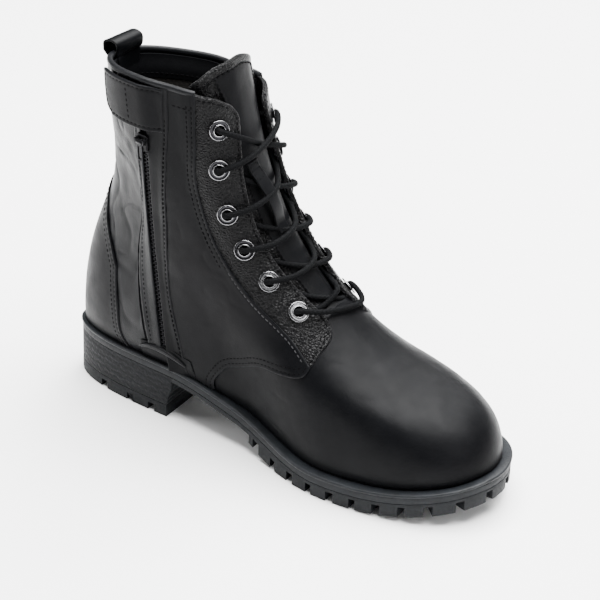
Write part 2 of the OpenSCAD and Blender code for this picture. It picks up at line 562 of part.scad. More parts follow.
// Outer face of the loop as places [x, z]: up outside the collar, over in a flat roll, and back down between
// the leather and the lining
loop_face = [[-124.7, 207], [-124.5, 214], [-124.3, 220], [-124.5, 224.5], [-124.1, 227.4], [-120.5, 228.6],
             [-116.9, 227.4], [-116.4, 224.5], [-116.9, 221.9], [-118.6, 219.8], [-118.8, 216],
             [-119.1, 209]];
loop_turn = 8;
module pull_loop() color(leather) {
  n = 40;
  face = [for (i = [0:n]) along(loop_face, i / n)];
  inwards = [for (i = [0:n])
    let (after = along(loop_face, min(1, i / n + 0.01)), before = along(loop_face, max(0, i / n - 0.01)),
         d = after - before)
    unit([d.y, -d.x])];
  back = [for (i = [0:n]) face[i] + loop_t * inwards[i]];
  across = [for (k = [-2:2]) k * loop_w / 4];
  // The ends follow the collar's curve across their width; the roll is straight and a little turned
  free = function (z) smooth(clamp((z - 218) / 5));
  lean = function (y, z) mix(y * y / 70, y * tan(loop_turn), free(z));
  sheet([for (p = face) for (y = across) [p.x + lean(y, p.y), y, p.y]],
        [for (i = [0:n]) for (y = across) [back[i].x + lean(y, face[i].y), y, back[i].y]], 4, n);
}

// ---- lace ----
lace_r = lace_d / 2;
under = -5.2;
over = 2.6;
edge_over = 2.8;
edge_under = -3.6;
low_pass = -1.9;
high_pass = 1.8;
// One crossing, as places [s, t, out]: out of one eyelet, over its facing's edge and the tongue, under the
// other facing's edge to below that side's next eyelet
function crossing(a, b, pass) =
  [[a[0], a[1], over], concat(mix(a, b, 0.24), edge_over), concat(mix(a, b, 0.5), pass),
   concat(mix(a, b, 0.76), edge_under), [b[0], b[1], under]];
// The last crossing stays on top and goes into the highest eyelet from outside
function last_crossing(a, b, pass) =
  [[a[0], a[1], over], concat(mix(a, b, 0.24), edge_over), concat(mix(a, b, 0.5), pass),
   concat(mix(a, b, 0.78), edge_over), [b[0], b[1], over], [b[0], b[1], under]];
// Tail behind the tongue, as seen on the inner side
lace_tail = [[0.128, 0.895, -6.4], [0.146, 0.880, -8.6], [0.142, 0.850, -12.5], [0.132, 0.800, -13],
             [0.126, 0.740, -13], [0.120, 0.680, -13]];
// Half of the lace: from the bar at the lowest pair, into an eyelet, under to the other side, and up
function half_lace(own, other, side, pass) =
  let (lower = pass[0], upper = pass[1])
  concat([[own[0][0] * 0.5, own[0][1] - 0.004, edge_over + 0.4], [own[0][0], own[0][1], over],
          [own[0][0], own[0][1], under]],
         [concat(mix(own[0], other[1], 0.27), edge_under), concat(mix(own[0], other[1], 0.5), lower),
          concat(mix(own[0], other[1], 0.73), edge_under), [other[1][0], other[1][1], under]],
         crossing(other[1], own[2], upper), crossing(own[2], other[3], lower),
         crossing(other[3], own[4], upper), last_crossing(own[4], other[5], lower),
         [for (p = lace_tail) [-side * p[0], p[1], p[2]]]);
lace_route = concat(reversed(half_lace(LATERAL_EYELETS, EYELETS, -1, [low_pass, high_pass])),
                    half_lace(EYELETS, LATERAL_EYELETS, 1, [high_pass, low_pass]));
function turned(points, i, normal) = i >= len(points) ? []
  : let (t = unit(points[min(i + 1, len(points) - 1)] - points[max(i - 1, 0)]),
         n = unit(normal - (normal * t) * t))
    concat([[points[i], n, cross(t, n)]], turned(points, i + 1, n));
module tube(points, r, sides) {
  rings = turned(points, 0, [0.1, 0.3, 1]);
  last = (len(points) - 1) * sides;
  pairs = [for (i = [0:len(points) - 2]) for (k = [0:sides - 1])
    [i * sides + k, i * sides + (k + 1) % sides]];
  polyhedron([for (g = rings) for (k = [0:sides - 1])
      let (a = 360 * k / sides) g[0] + r * (cos(a) * g[1] + sin(a) * g[2])],
    concat([[for (k = [0:sides - 1]) k]], [[for (k = [sides - 1:-1:0]) last + k]],
           [for (p = pairs) [p[0], p[0] + sides, p[1] + sides]],
           [for (p = pairs) [p[0], p[1] + sides, p[1]]]));
}
lace_points = [for (p = lace_route) skin(p[0], p[1], p[2])];
module lace() color(cloth) tube(lace_points, lace_r, 8);
// Tips that hold the lace's ends together
tip_l = 16;
tip_r = 1.8;
module lace_tip(from, to) {
  d = unit(to - from);
  translate(to) rotate([0, acos(d.z), atan2(d.y, d.x)]) cylinder(r = tip_r, h = tip_l);
}
module lace_tips() color(metal) {
  last = len(lace_points) - 1;
  lace_tip(lace_points[1], lace_points[0]);
  lace_tip(lace_points[last - 1], lace_points[last]);
}

outsole();
midsole();
welt();
heel_block();
heel_top_piece();
insole_board();
shank();
footbed();
vamp();
medial_quarter();
zip_front_strip();
zip_rear_strip();
medial_rear_quarter();
heel_counter();
lateral_quarter();
lateral_rear_quarter();
medial_facing();
lateral_facing();
tongue();
lace_keeper();
toe_puff();
counter_stiffener();
medial_lining();
lateral_lining();
vamp_lining();
pull_loop();
closure_tab();
hook_pad();
loop_pad();
medial_eyelets();
lateral_eyelets();
medial_washers();
lateral_washers();
zip_tape();
zip_teeth_front();
zip_teeth_rear();
zip_top_stop();
zip_bottom_stop();
zip_slider();
zip_puller();
lace();
lace_tips();
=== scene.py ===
"""Left ankle boot: leather lace-up upper with an inner zip on a lugged rubber sole."""
import math

import bmesh
import bpy
import numpy as np
from mathutils import Matrix, Vector


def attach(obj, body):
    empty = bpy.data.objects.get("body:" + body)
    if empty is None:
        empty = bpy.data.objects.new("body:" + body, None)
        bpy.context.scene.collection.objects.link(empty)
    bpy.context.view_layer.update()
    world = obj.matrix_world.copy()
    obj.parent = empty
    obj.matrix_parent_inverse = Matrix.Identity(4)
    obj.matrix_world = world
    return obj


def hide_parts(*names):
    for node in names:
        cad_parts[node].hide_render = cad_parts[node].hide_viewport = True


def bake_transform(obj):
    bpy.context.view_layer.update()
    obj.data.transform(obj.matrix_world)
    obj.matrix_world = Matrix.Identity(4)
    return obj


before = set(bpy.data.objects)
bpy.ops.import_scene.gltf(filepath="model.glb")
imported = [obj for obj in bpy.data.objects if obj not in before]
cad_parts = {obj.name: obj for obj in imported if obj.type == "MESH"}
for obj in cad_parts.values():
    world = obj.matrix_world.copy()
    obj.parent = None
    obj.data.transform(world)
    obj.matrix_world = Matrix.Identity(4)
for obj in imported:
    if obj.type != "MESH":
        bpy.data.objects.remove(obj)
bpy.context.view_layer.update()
MM = 0.001
SEED = 11

# ---- camera: first, so that everything else is judged from it ----
CAM_AZ, CAM_EL, CAM_ROLL = math.radians(30.5), math.radians(29.5), math.radians(2.0)
CAM_DISTANCE = 1.520
CAM_TARGET = Vector((0.0055, 0.0, 0.092))
CAM_LENS = 155.04


def make_camera():
    flat = math.cos(CAM_EL)
    back = Vector((math.sin(CAM_AZ) * flat, -math.cos(CAM_AZ) * flat, math.sin(CAM_EL)))
    right = Vector((math.cos(CAM_AZ), math.sin(CAM_AZ), 0.0))
    up = back.cross(right)
    turned_right = math.cos(CAM_ROLL) * right + math.sin(CAM_ROLL) * up
    turned_up = math.cos(CAM_ROLL) * up - math.sin(CAM_ROLL) * right
    data = bpy.data.cameras.new("camera")
    data.lens, data.sensor_width = CAM_LENS, 36.0
    data.clip_start, data.clip_end = 0.05, 20.0
    camera = bpy.data.objects.new("camera", data)
    bpy.context.scene.collection.objects.link(camera)
    place = CAM_TARGET + CAM_DISTANCE * back
    rotation = Matrix((turned_right, turned_up, back)).transposed().to_4x4()
    camera.matrix_world = Matrix.Translation(place) @ rotation
    bpy.context.scene.camera = camera


make_camera()

# ---- small mathematics ----
def clamp(v):
    return np.clip(v, 0.0, 1.0)


def smooth(f):
    f = clamp(f)
    return f * f * (3 - 2 * f)


def mix(a, b, f):
    return a + (b - a) * f


def unit(v):
    v = np.asarray(v, float)
    return v / np.maximum(np.linalg.norm(v, axis=-1, keepdims=True), 1e-9)


def value_noise(p, scale, seed=0):
    """Smooth noise from -1 to 1 at points in mm; scale is the size of its cells in mm."""
    q = np.asarray(p, float) / scale + 37.0
    cell = np.floor(q).astype(np.int64)
    f = q - cell
    f = f * f * (3 - 2 * f)
    total = np.zeros(q.shape[:-1])
    for corner in range(8):
        d = np.array([corner & 1, corner >> 1 & 1, corner >> 2 & 1])
        c = cell + d
        h = (c[..., 0] * 73856093 ^ c[..., 1] * 19349663 ^ c[..., 2] * 83492791) + (seed + SEED) * 2654435761
        h = (h ^ h >> 13) * 1274126177 & 0x7FFFFFFF
        h = (h ^ h >> 15) & 0xFFFF
        weight = np.prod(np.where(d == 1, f, 1 - f), axis=-1)
        total += weight * (h / 32767.5 - 1)
    return total


# ---- outer surface of the upper, the same as the part's ----
SECTIONS = np.array([
    [143, 27, -147, 36, 49, 30, 28, 50, 38, 33, 2.5, 5.0, 1.00, 0],
    [142, 34, -147, 46, 51, 32, 32, 51, 40, 35, 2.7, 5.0, 0.75, 0],
    [137, 46, -146, 58, 49, 33, 33, 50, 41, 35, 2.7, 5.0, 0.40, 0],
    [123, 57, -145, 72, 46, 34, 33, 44, 40, 34, 2.4, 4.6, 0.15, 0],
    [96, 64, -142, 90, 42, 34, 31, 36, 38, 32, 2.1, 4.2, 0.00, 0],
    [66, 76, -137, 107, 38, 34, 30, 34, 36, 30, 2.0, 3.6, 0.00, 0],
    [38, 93, -130, 125, 36, 35, 30, 32, 36, 30, 2.1, 3.2, 0.00, 0],
    [13, 117, -124, 143, 35, 35, 30, 31, 36, 31, 2.2, 3.0, 0.00, 0],
    [-6, 144, -122, 161, 35, 37, 33, 33, 38, 33, 2.3, 2.8, 0.00, 1],
    [-18, 171, -123, 180, 36, 38, 37, 35, 40, 36, 2.3, 2.8, 0.00, 3],
    [-26, 197, -124, 200, 37, 39, 41, 37, 42, 38, 2.3, 2.8, 0.00, 5],
    [-31, 217, -123, 220, 38, 41, 43, 39, 44, 41, 2.3, 2.8, 0.00, 8]], float)
BALL_AT, WAIST_AT, HEEL_AT = 0.30, 0.56, 0.84
BALL_Z, TOE_RISE, HEEL_RISE = 15, 12, 21
SOLE_T = 0.004


def spline(rows, t):
    last = len(rows) - 1
    u = clamp(t) * last
    i = np.minimum(np.floor(u), last - 1).astype(int)
    f = (u - i)[..., None]
    p = np.vstack([2 * rows[:1] - rows[1:2], rows, 2 * rows[-1:] - rows[-2:-1]])
    return ((1 - f) ** 3 * p[i] + (3 * f ** 3 - 6 * f ** 2 + 4) * p[i + 1]
            + (-3 * f ** 3 + 3 * f ** 2 + 3 * f + 1) * p[i + 2] + f ** 3 * p[i + 3]) / 6


def feather_z(x):
    x = np.asarray(x, float)
    toe = BALL_Z + TOE_RISE * clamp((x - 55) / 90) ** 2
    return np.where(x > 45, toe, BALL_Z + HEEL_RISE * smooth((45 - x) / 120))


def half_width(a, ball, waist, heel, front_sq, back_sq):
    base = np.where(a < BALL_AT, ball,
                    np.where(a < WAIST_AT, mix(ball, waist, smooth((a - BALL_AT) / (WAIST_AT - BALL_AT))),
                             mix(waist, heel, smooth((a - WAIST_AT) / (HEEL_AT - WAIST_AT)))))
    front = np.sqrt(1 - np.maximum(0, 1 - a / BALL_AT) ** front_sq)
    back = np.sqrt(np.maximum(0, 1 - np.maximum(0, (a - BALL_AT) / (1 - BALL_AT)) ** back_sq))
    return base * front * back


def shape_in(s, t):
    s, t = np.broadcast_arrays(np.asarray(s, float), np.asarray(t, float))
    c = spline(SECTIONS, t)
    c = [c[..., k] for k in range(c.shape[-1])]
    turn = s - np.floor(s)
    a = (1 - np.cos(2 * np.pi * turn)) / 2
    inner = half_width(a, c[4], c[5], c[6], c[10], c[11])
    outer = half_width(a, c[7], c[8], c[9], c[10], c[11])
    x = mix(c[0], c[2], a)
    y = np.where(turn <= 0.5, -inner, outer)
    sag = feather_z(mix(143, -147, a)) - mix(feather_z(143), feather_z(-147), a)
    y = y - 4 * clamp(1 - clamp(a / 0.35)) ** 2 * (1 - clamp(t / 0.5))
    z = mix(c[1], c[3], a) + c[12] * sag - c[13] * y / 40
    return np.stack([x, y, z], -1)


def shape(s, t):
    s, t = np.broadcast_arrays(np.asarray(s, float), np.asarray(t, float))
    p = shape_in(s, np.minimum(t, 1))
    over = np.maximum(t - 1, 0)[..., None] / 0.05
    return p + over * (p - shape_in(s, 0.95))


def outward(s, t):
    s, t = np.broadcast_arrays(np.asarray(s, float), np.maximum(0, np.asarray(t, float)))
    step = np.where(t > 0.5, -0.002, 0.002)
    along_s = shape(s + 0.002, t) - shape(s - 0.002, t)
    up = (shape(s, t + step) - shape(s, t)) * np.sign(step)[..., None]
    return unit(np.cross(up, along_s))


def skin(s, t, out=0.0):
    return shape(s, t) + np.asarray(out, float)[..., None] * outward(s, t)


def along(points, u):
    """Curve through given points, u from 0 to 1."""
    p = np.asarray(points, float)
    last = len(p) - 1
    x = clamp(np.asarray(u, float)) * last
    i = np.minimum(np.floor(x), last - 1).astype(int)
    f = (x - i)[..., None]
    q = np.vstack([2 * p[:1] - p[1:2], p, 2 * p[-1:] - p[-2:-1]])
    a, b, c, d = q[i], q[i + 1], q[i + 2], q[i + 3]
    return 0.5 * (2 * b + (c - a) * f + (2 * a - 5 * b + 4 * c - d) * f ** 2
                  + (3 * b - a - 3 * c + d) * f ** 3)


def mirrored(points):
    return [[-p[0], p[1]] for p in points]


def opposite(points):
    """The same places on the lateral side, as s from 0.5 to 1."""
    return [[1 - p[0], p[1]] for p in points]


# ---- seams, as places [s, t], the same as the part's ----
QUARTER_FOOT = [0.286, SOLE_T]
FACING_FOOT = [0.150, 0.405]
QUARTER_EDGE = [[0.286, SOLE_T], [0.284, 0.08], [0.272, 0.18], [0.252, 0.24], [0.228, 0.295], [0.200, 0.32],
                [0.178, 0.345], FACING_FOOT]
FACING_END = [FACING_FOOT, [0.122, 0.452], [0.092, 0.488], [0.068, 0.514], [0.052, 0.545]]
FACING_SEAM = [FACING_FOOT, [0.144, 0.49], [0.164, 0.56], [0.178, 0.63], [0.183, 0.70], [0.176, 0.80],
               [0.156, 0.88], [0.137, 0.995]]
ZIP_SEAM = [[0.306, SOLE_T], [0.309, 0.15], [0.308, 0.30], [0.300, 0.44], [0.284, 0.58], [0.262, 0.70],
            [0.238, 0.80], [0.215, 0.90], [0.203, 0.995]]
REAR_SEAM = [[0.342, 0.10], [0.344, 0.25], [0.343, 0.40], [0.339, 0.52], [0.326, 0.64], [0.312, 0.74],
             [0.300, 0.84], [0.290, 0.93]]
COUNTER_SIDE = [[0.368, SOLE_T], [0.375, 0.12], [0.377, 0.25], [0.379, 0.38]]
COUNTER_TOP = [[0.379, 0.38], [0.395, 0.45], [0.418, 0.51], [0.448, 0.575], [0.5, 0.615]]
EYELETS = [[0.094, 0.562], [0.111, 0.620], [0.126, 0.678], [0.130, 0.745], [0.118, 0.834], [0.098, 0.918]]
LATERAL_EYELETS = [[-0.100, 0.540], [-0.112, 0.605], [-0.120, 0.670], [-0.124, 0.738], [-0.112, 0.822],
                   [-0.098, 0.905]]

# ---- the zip's arc ----
ZIP_BOTTOM, ZIP_TOP = np.array([-69.5, -31, 46]), np.array([-79.7, -38.5, 202])
ZIP_BOW, ZIP_LEAN = 6.0, math.radians(36)
ZIP_CHORD = ZIP_TOP - ZIP_BOTTOM
ZIP_UP = unit(ZIP_CHORD)
ZIP_OUT = unit(np.array([-0.84, 0.78, 0]) - np.dot([-0.84, 0.78, 0], ZIP_UP) * ZIP_UP)
ZIP_R = (ZIP_CHORD @ ZIP_CHORD / 4 + ZIP_BOW ** 2) / (2 * ZIP_BOW)
ZIP_CENTRE = (ZIP_BOTTOM + ZIP_TOP) / 2 - (ZIP_R - ZIP_BOW) * ZIP_OUT
ZIP_AXIS = np.cross(ZIP_OUT, ZIP_UP)
ZIP_HALF = math.asin(np.linalg.norm(ZIP_CHORD) / 2 / ZIP_R)
ZIP_LEN = 2 * ZIP_HALF * ZIP_R
STRIP_OUT, TOOTH_TOP, TOOTH_H = 0.4, -0.2, 2.0
SLIT_FRONT, SLIT_REAR = 2.2, -2.0


def zip_frame(w):
    a = mix(-ZIP_HALF, ZIP_HALF, np.asarray(w, float))[..., None]
    radial = np.cos(a) * ZIP_OUT + np.sin(a) * ZIP_UP
    up = np.cos(a) * ZIP_UP - np.sin(a) * ZIP_OUT
    out = -math.cos(ZIP_LEAN) * ZIP_AXIS - math.sin(ZIP_LEAN) * radial
    return np.cross(up, out), up, out, ZIP_CENTRE + ZIP_R * radial


def zip_point(w, across, out):
    f = zip_frame(w)
    return f[3] + np.asarray(across, float)[..., None] * f[0] + np.asarray(out, float)[..., None] * f[2]


# ---- materials ----
def new_material(name):
    m = bpy.data.materials.new(name)
    m.use_nodes = True
    return m, m.node_tree, m.node_tree.nodes["Principled BSDF"]


def add(tree, kind, **values):
    n = tree.nodes.new(kind)
    for key, value in values.items():
        if key in n.inputs:
            n.inputs[key].default_value = value
        else:
            setattr(n, key, value)
    return n


def object_coordinates(tree):
    return add(tree, "ShaderNodeTexCoord").outputs["Object"]


def stretched(tree, vector, scale):
    m = add(tree, "ShaderNodeMapping")
    m.inputs["Scale"].default_value = scale
    tree.links.new(vector, m.inputs["Vector"])
    return m.outputs["Vector"]


def noise(tree, vector, scale, detail=3.0):
    n = add(tree, "ShaderNodeTexNoise", Scale=scale, Detail=detail)
    tree.links.new(vector, n.inputs["Vector"])
    return n.outputs["Fac"]


def cells(tree, vector, scale, feature="DISTANCE_TO_EDGE"):
    n = add(tree, "ShaderNodeTexVoronoi", feature=feature, Scale=scale)
    tree.links.new(vector, n.inputs["Vector"])
    return n.outputs["Distance"]


def ranged(tree, value, low, high, to_low, to_high):
    n = add(tree, "ShaderNodeMapRange",
            **{"From Min": low, "From Max": high, "To Min": to_low, "To Max": to_high})
    tree.links.new(value, n.inputs["Value"])
    return n.outputs["Result"]


def arithmetic(tree, kind, a, b):
    n = add(tree, "ShaderNodeMath", operation=kind)
    for value, socket in ((a, n.inputs[0]), (b, n.inputs[1])):
        if isinstance(value, (int, float)):
            socket.default_value = value
        else:
            tree.links.new(value, socket)
    return n.outputs[0]


def blended(tree, fac, dark, light):
    n = add(tree, "ShaderNodeMix", data_type="RGBA")
    tree.links.new(fac, n.inputs["Factor"])
    for value, index in ((dark, 6), (light, 7)):
        if isinstance(value, (tuple, list)):
            n.inputs[index].default_value = (*value, 1.0)
        else:
            tree.links.new(value, n.inputs[index])
    return n.outputs[2]


def bumped(tree, shader, heights):
    """Bump from (height, distance in m, strength) layers."""
    normal = None
    for height, distance, strength in heights:
        b = add(tree, "ShaderNodeBump", Strength=strength, Distance=distance)
        tree.links.new(height, b.inputs["Height"])
        if normal is not None:
            tree.links.new(normal, b.inputs["Normal"])
        normal = b.outputs["Normal"]
    tree.links.new(normal, shader.inputs["Normal"])


def leather(name, tone, roughness, pebble=1100.0, depth=0.00012, strength=0.5, wear=0.5, gloss=0.046):
    m, tree, shader = new_material(name)
    v = object_coordinates(tree)
    patches = noise(tree, v, 38.0, 4.0)
    colour = blended(tree, ranged(tree, patches, 0.3, 0.7, 0.0, 1.0), [c * 0.82 for c in tone],
                     [c * 1.22 for c in tone])
    edge = add(tree, "ShaderNodeAttribute", attribute_name="wear").outputs["Fac"]
    # in leather this mask is only real edge wear: lighter rubbed colour at the rolled edges
    worn = arithmetic(tree, "MULTIPLY", arithmetic(tree, "MULTIPLY", edge, wear), ranged(
        tree, noise(tree, v, 420.0), 0.35, 0.65, 0.3, 1.0))
    tree.links.new(blended(tree, worn, colour, [c * 2.5 + 0.004 for c in tone]), shader.inputs["Base Color"])
    tree.links.new(ranged(tree, noise(tree, v, 90.0, 5.0), 0.3, 0.7, roughness - 0.06, roughness + 0.08),
                   shader.inputs["Roughness"])
    shader.inputs["Specular IOR Level"].default_value = gloss
    fine = ranged(tree, cells(tree, v, pebble), 0.0, 0.35, 0.0, 1.0)
    pores = ranged(tree, noise(tree, v, pebble * 2.2, 2.0), 0.3, 0.7, 0.0, 1.0)
    broad = noise(tree, v, 160.0, 5.0)
    bumped(tree, shader, [(broad, 0.0005, 0.25), (fine, depth, strength),
                          (pores, depth * 0.5, strength * 0.6)])
    return m


def rubber(name, tone, roughness=0.62, lines=0.0):
    m, tree, shader = new_material(name)
    v = object_coordinates(tree)
    scuffs = noise(tree, stretched(tree, v, (1.0, 1.0, 6.0)), 90.0, 6.0)
    dust = noise(tree, v, 700.0, 3.0)
    base = blended(tree, ranged(tree, scuffs, 0.35, 0.7, 0.0, 1.0), [c * 0.75 for c in tone],
                   [c * 1.45 for c in tone])
    edge = add(tree, "ShaderNodeAttribute", attribute_name="wear").outputs["Fac"]
    tree.links.new(blended(tree, arithmetic(tree, "MULTIPLY", edge, 0.5), base, [c * 2.4 for c in tone]),
                   shader.inputs["Base Color"])
    tree.links.new(ranged(tree, dust, 0.3, 0.7, roughness - 0.07, roughness + 0.12),
                   shader.inputs["Roughness"])
    heights = [(dust, 0.00012, 0.5), (scuffs, 0.0004, 0.35)]
    if lines:
        wave = add(tree, "ShaderNodeTexWave", bands_direction="Z", Scale=lines, Distortion=5.0, Detail=4.0)
        wave.inputs["Detail Scale"].default_value = 3.0
        tree.links.new(v, wave.inputs["Vector"])
        heights.append((wave.outputs["Fac"], 0.0005, 0.4))
    shader.inputs["Specular IOR Level"].default_value = 0.15
    bumped(tree, shader, heights)
    return m


def cloth(name, dark, light, threads=900.0, roughness=0.9, sheen=0.3, depth=0.0002, gloss=0.12):
    m, tree, shader = new_material(name)
    v = object_coordinates(tree)
    warp = add(tree, "ShaderNodeTexWave", bands_direction="Z", Scale=threads / 6.0, Distortion=0.4)
    weft = add(tree, "ShaderNodeTexWave", bands_direction="DIAGONAL", Scale=threads / 6.0, Distortion=0.4)
    for w in (warp, weft):
        tree.links.new(v, w.inputs["Vector"])
    weave = arithmetic(tree, "MULTIPLY", warp.outputs["Fac"], weft.outputs["Fac"])
    fuzz = noise(tree, v, threads * 1.5, 3.0)
    tree.links.new(blended(tree, arithmetic(tree, "MULTIPLY", weave, ranged(tree, fuzz, 0.2, 0.8, 0.5, 1.3)),
                           dark, light), shader.inputs["Base Color"])
    tree.links.new(ranged(tree, fuzz, 0.3, 0.7, roughness - 0.06, min(1.0, roughness + 0.08)),
                   shader.inputs["Roughness"])
    shader.inputs["Specular IOR Level"].default_value = gloss
    shader.inputs["Sheen Weight"].default_value = sheen
    shader.inputs["Sheen Roughness"].default_value = 0.4
    bumped(tree, shader, [(weave, depth, 0.7), (fuzz, depth * 0.6, 0.5)])
    return m


def metal(name, tone, roughness, metallic=1.0):
    m, tree, shader = new_material(name)
    v = object_coordinates(tree)
    marks = noise(tree, stretched(tree, v, (1.0, 1.0, 5.0)), 900.0, 4.0)
    tree.links.new(blended(tree, ranged(tree, marks, 0.3, 0.7, 0.0, 1.0), [c * 0.8 for c in tone],
                           [min(1.0, c * 1.15) for c in tone]), shader.inputs["Base Color"])
    tree.links.new(ranged(tree, marks, 0.3, 0.7, roughness * 0.7, roughness * 1.4),
                   shader.inputs["Roughness"])
    shader.inputs["Metallic"].default_value = metallic
    bumped(tree, shader, [(marks, 0.00003, 0.4)])
    return m


def plain_grain(name, tone, scale, roughness):
    m, tree, shader = new_material(name)
    v = object_coordinates(tree)
    grain = noise(tree, v, scale, 5.0)
    tree.links.new(blended(tree, ranged(tree, grain, 0.3, 0.7, 0.0, 1.0), [c * 0.8 for c in tone],
                           [c * 1.2 for c in tone]), shader.inputs["Base Color"])
    tree.links.new(ranged(tree, grain, 0.3, 0.7, roughness - 0.05, roughness + 0.05),
                   shader.inputs["Roughness"])
    bumped(tree, shader, [(grain, 0.0002, 0.5)])
    return m


BLACK = (0.0018, 0.0019, 0.0023)
M = {
    "smooth": leather("smooth_leather", BLACK, 0.40, 1500.0, 0.00006, 0.35),
    "pebbled": leather("pebbled_leather", (0.0016, 0.0016, 0.0018), 0.33, 560.0, 0.00034, 1.0, gloss=0.09),
    "tongue": leather("tongue_leather", (0.0026, 0.0027, 0.0031), 0.42, 1300.0, 0.00008, 0.4),
    "soft": leather("soft_leather", (0.0030, 0.0032, 0.0038), 0.40, 1000.0, 0.00010, 0.5, gloss=0.10),
    "rubber": rubber("sole_rubber", (0.0036, 0.0042, 0.0050)),
    "heel": rubber("heel_rubber", (0.0020, 0.0025, 0.0033), 0.66, 80.0),
    "midsole": rubber("midsole_rubber", (0.0046, 0.0054, 0.0066), 0.55),
    "welt": rubber("welt_rubber", (0.0060, 0.0070, 0.0084), 0.50),
    "lining": cloth("lining_cloth", (0.0030, 0.0026, 0.0020), (0.009, 0.0075, 0.006), 900.0),
    "footbed": cloth("footbed_cloth", (0.012, 0.012, 0.012), (0.035, 0.035, 0.035), 700.0),
    "tape": cloth("tape_cloth", (0.001, 0.001, 0.0012), (0.003, 0.003, 0.0034), 1500.0, 0.9, 0.0),
    "lace": cloth("lace_cloth", (0.0012, 0.0013, 0.0015), (0.006, 0.0062, 0.0068), 2600.0, 0.7, 0.0,
                  0.00012, 0.03),
    "thread": cloth("thread", (0.0008, 0.0008, 0.0010), (0.0025, 0.0025, 0.0028), 4000.0, 0.60, 0.0,
                    0.00005, 0.03),
    "pale_thread": cloth("pale_thread", (0.015, 0.015, 0.016), (0.04, 0.04, 0.042), 4000.0, 0.6, 0.05,
                         0.00005),
    "fuzz": cloth("loop_cloth", (0.003, 0.003, 0.0035), (0.010, 0.010, 0.011), 1800.0, 0.98, 0.3, 0.0004),
    "eyelet": metal("eyelet_metal", (0.022, 0.022, 0.024), 0.24),
    # bright metal on the eyelets' rim beads: painted highlights along the edges of eyelets that are dark
    # metal all over
    "rim": metal("eyelet_rim_painted_highlight_metal", (0.35, 0.35, 0.36), 0.18),
    # bright metal that paints the reflection of the studio light on the two lowest medial eyelets
    "worn": metal("eyelet_painted_reflection_metal", (0.42, 0.42, 0.43), 0.22),
    "zip_metal": metal("zip_metal", (0.010, 0.010, 0.011), 0.45),
    "steel": metal("steel", (0.55, 0.55, 0.56), 0.35),
    "tip": plain_grain("lace_tip", (0.012, 0.012, 0.013), 1500.0, 0.25),
    "board": plain_grain("board", (0.30, 0.22, 0.14), 900.0, 0.8),
    "stiff": plain_grain("stiffener", (0.36, 0.33, 0.28), 700.0, 0.75),
}

# ---- mesh helpers ----
def build(name, verts, faces, material, body="boot", nodes=(), slot=None, wear=None, angle=42, merge=0.003,
          ride=True):
    """Object from points in mm and a list of face arrays, all its solids turned outwards."""
    mesh = bpy.data.meshes.new(name)
    co = (np.asarray(verts, float).reshape(-1, 3) * MM).astype(np.float32)
    faces = [np.asarray(f, np.int32) for f in faces if len(f)]
    loops = np.concatenate([f.ravel() for f in faces])
    totals = np.concatenate([np.full(len(f), f.shape[1], np.int32) for f in faces])
    mesh.vertices.add(len(co))
    mesh.vertices.foreach_set("co", co.ravel())
    mesh.loops.add(len(loops))
    mesh.loops.foreach_set("vertex_index", loops)
    mesh.polygons.add(len(totals))
    mesh.polygons.foreach_set("loop_start", np.concatenate([[0], np.cumsum(totals)[:-1]]).astype(np.int32))
    mesh.update(calc_edges=True)
    if wear is not None:
        values = np.asarray(wear, np.float32).ravel()
        mesh.attributes.new("wear", "FLOAT", "POINT").data.foreach_set("value", values)
    b = bmesh.new()
    b.from_mesh(mesh)
    if merge:
        bmesh.ops.remove_doubles(b, verts=b.verts, dist=merge * MM)
    bmesh.ops.recalc_face_normals(b, faces=b.faces)
    b.to_mesh(mesh)
    b.free()
    return finished(name, mesh, material, body, nodes, angle, ride)


def finished(name, mesh, material, body="boot", nodes=(), angle=42, ride=True):
    mesh.polygons.foreach_set("use_smooth", np.ones(len(mesh.polygons), bool))
    mesh.set_sharp_from_angle(angle=math.radians(angle))
    mesh.materials.clear()
    mesh.materials.append(M[material])
    piece = bpy.data.objects.new(name, mesh)
    bpy.context.scene.collection.objects.link(piece)
    if ride:
        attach(piece, body)
    if nodes:
        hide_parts(*nodes)
    return piece


def grid_faces(rows, columns, start=0, closed=False):
    """Quads of a grid of points, rows by columns; closed joins the last column to the first."""
    j, i = np.meshgrid(np.arange(rows - 1), np.arange(columns if closed else columns - 1), indexing="ij")
    k = (i + 1) % columns
    return start + np.stack([j * columns + i, j * columns + k, (j + 1) * columns + k, (j + 1) * columns + i],
                            -1).reshape(-1, 4)


def rim_loop(rows, columns):
    j, i = np.arange(rows), np.arange(columns)
    return np.concatenate([i[:-1], j[:-1] * columns + columns - 1, (rows - 1) * columns + i[:0:-1],
                           j[:0:-1] * columns])


def distance_to(points, line):
    """Shortest distance from each point to a dense line."""
    flat = points.reshape(-1, 3)
    best = np.full(len(flat), 1e9)
    for k in range(0, len(line), 64):
        d = np.linalg.norm(flat[:, None] - line[None, k:k + 64], axis=2)
        best = np.minimum(best, d.min(1))
    return best.reshape(points.shape[:-1])


EDGE_LINES = np.array([0, 0.12, 0.35, 0.7, 1.1, 1.7, 2.3, 2.9, 3.8])


def ruler(widths, count):
    near = EDGE_LINES[None] * np.minimum(1, 0.42 * widths / EDGE_LINES[-1])[:, None]
    last = near[:, -1]
    middle = last[:, None] + (widths - 2 * last)[:, None] * np.linspace(0, 1, count + 1)[None, 1:-1]
    return np.concatenate([near, middle, (widths[:, None] - near)[:, ::-1]], 1)


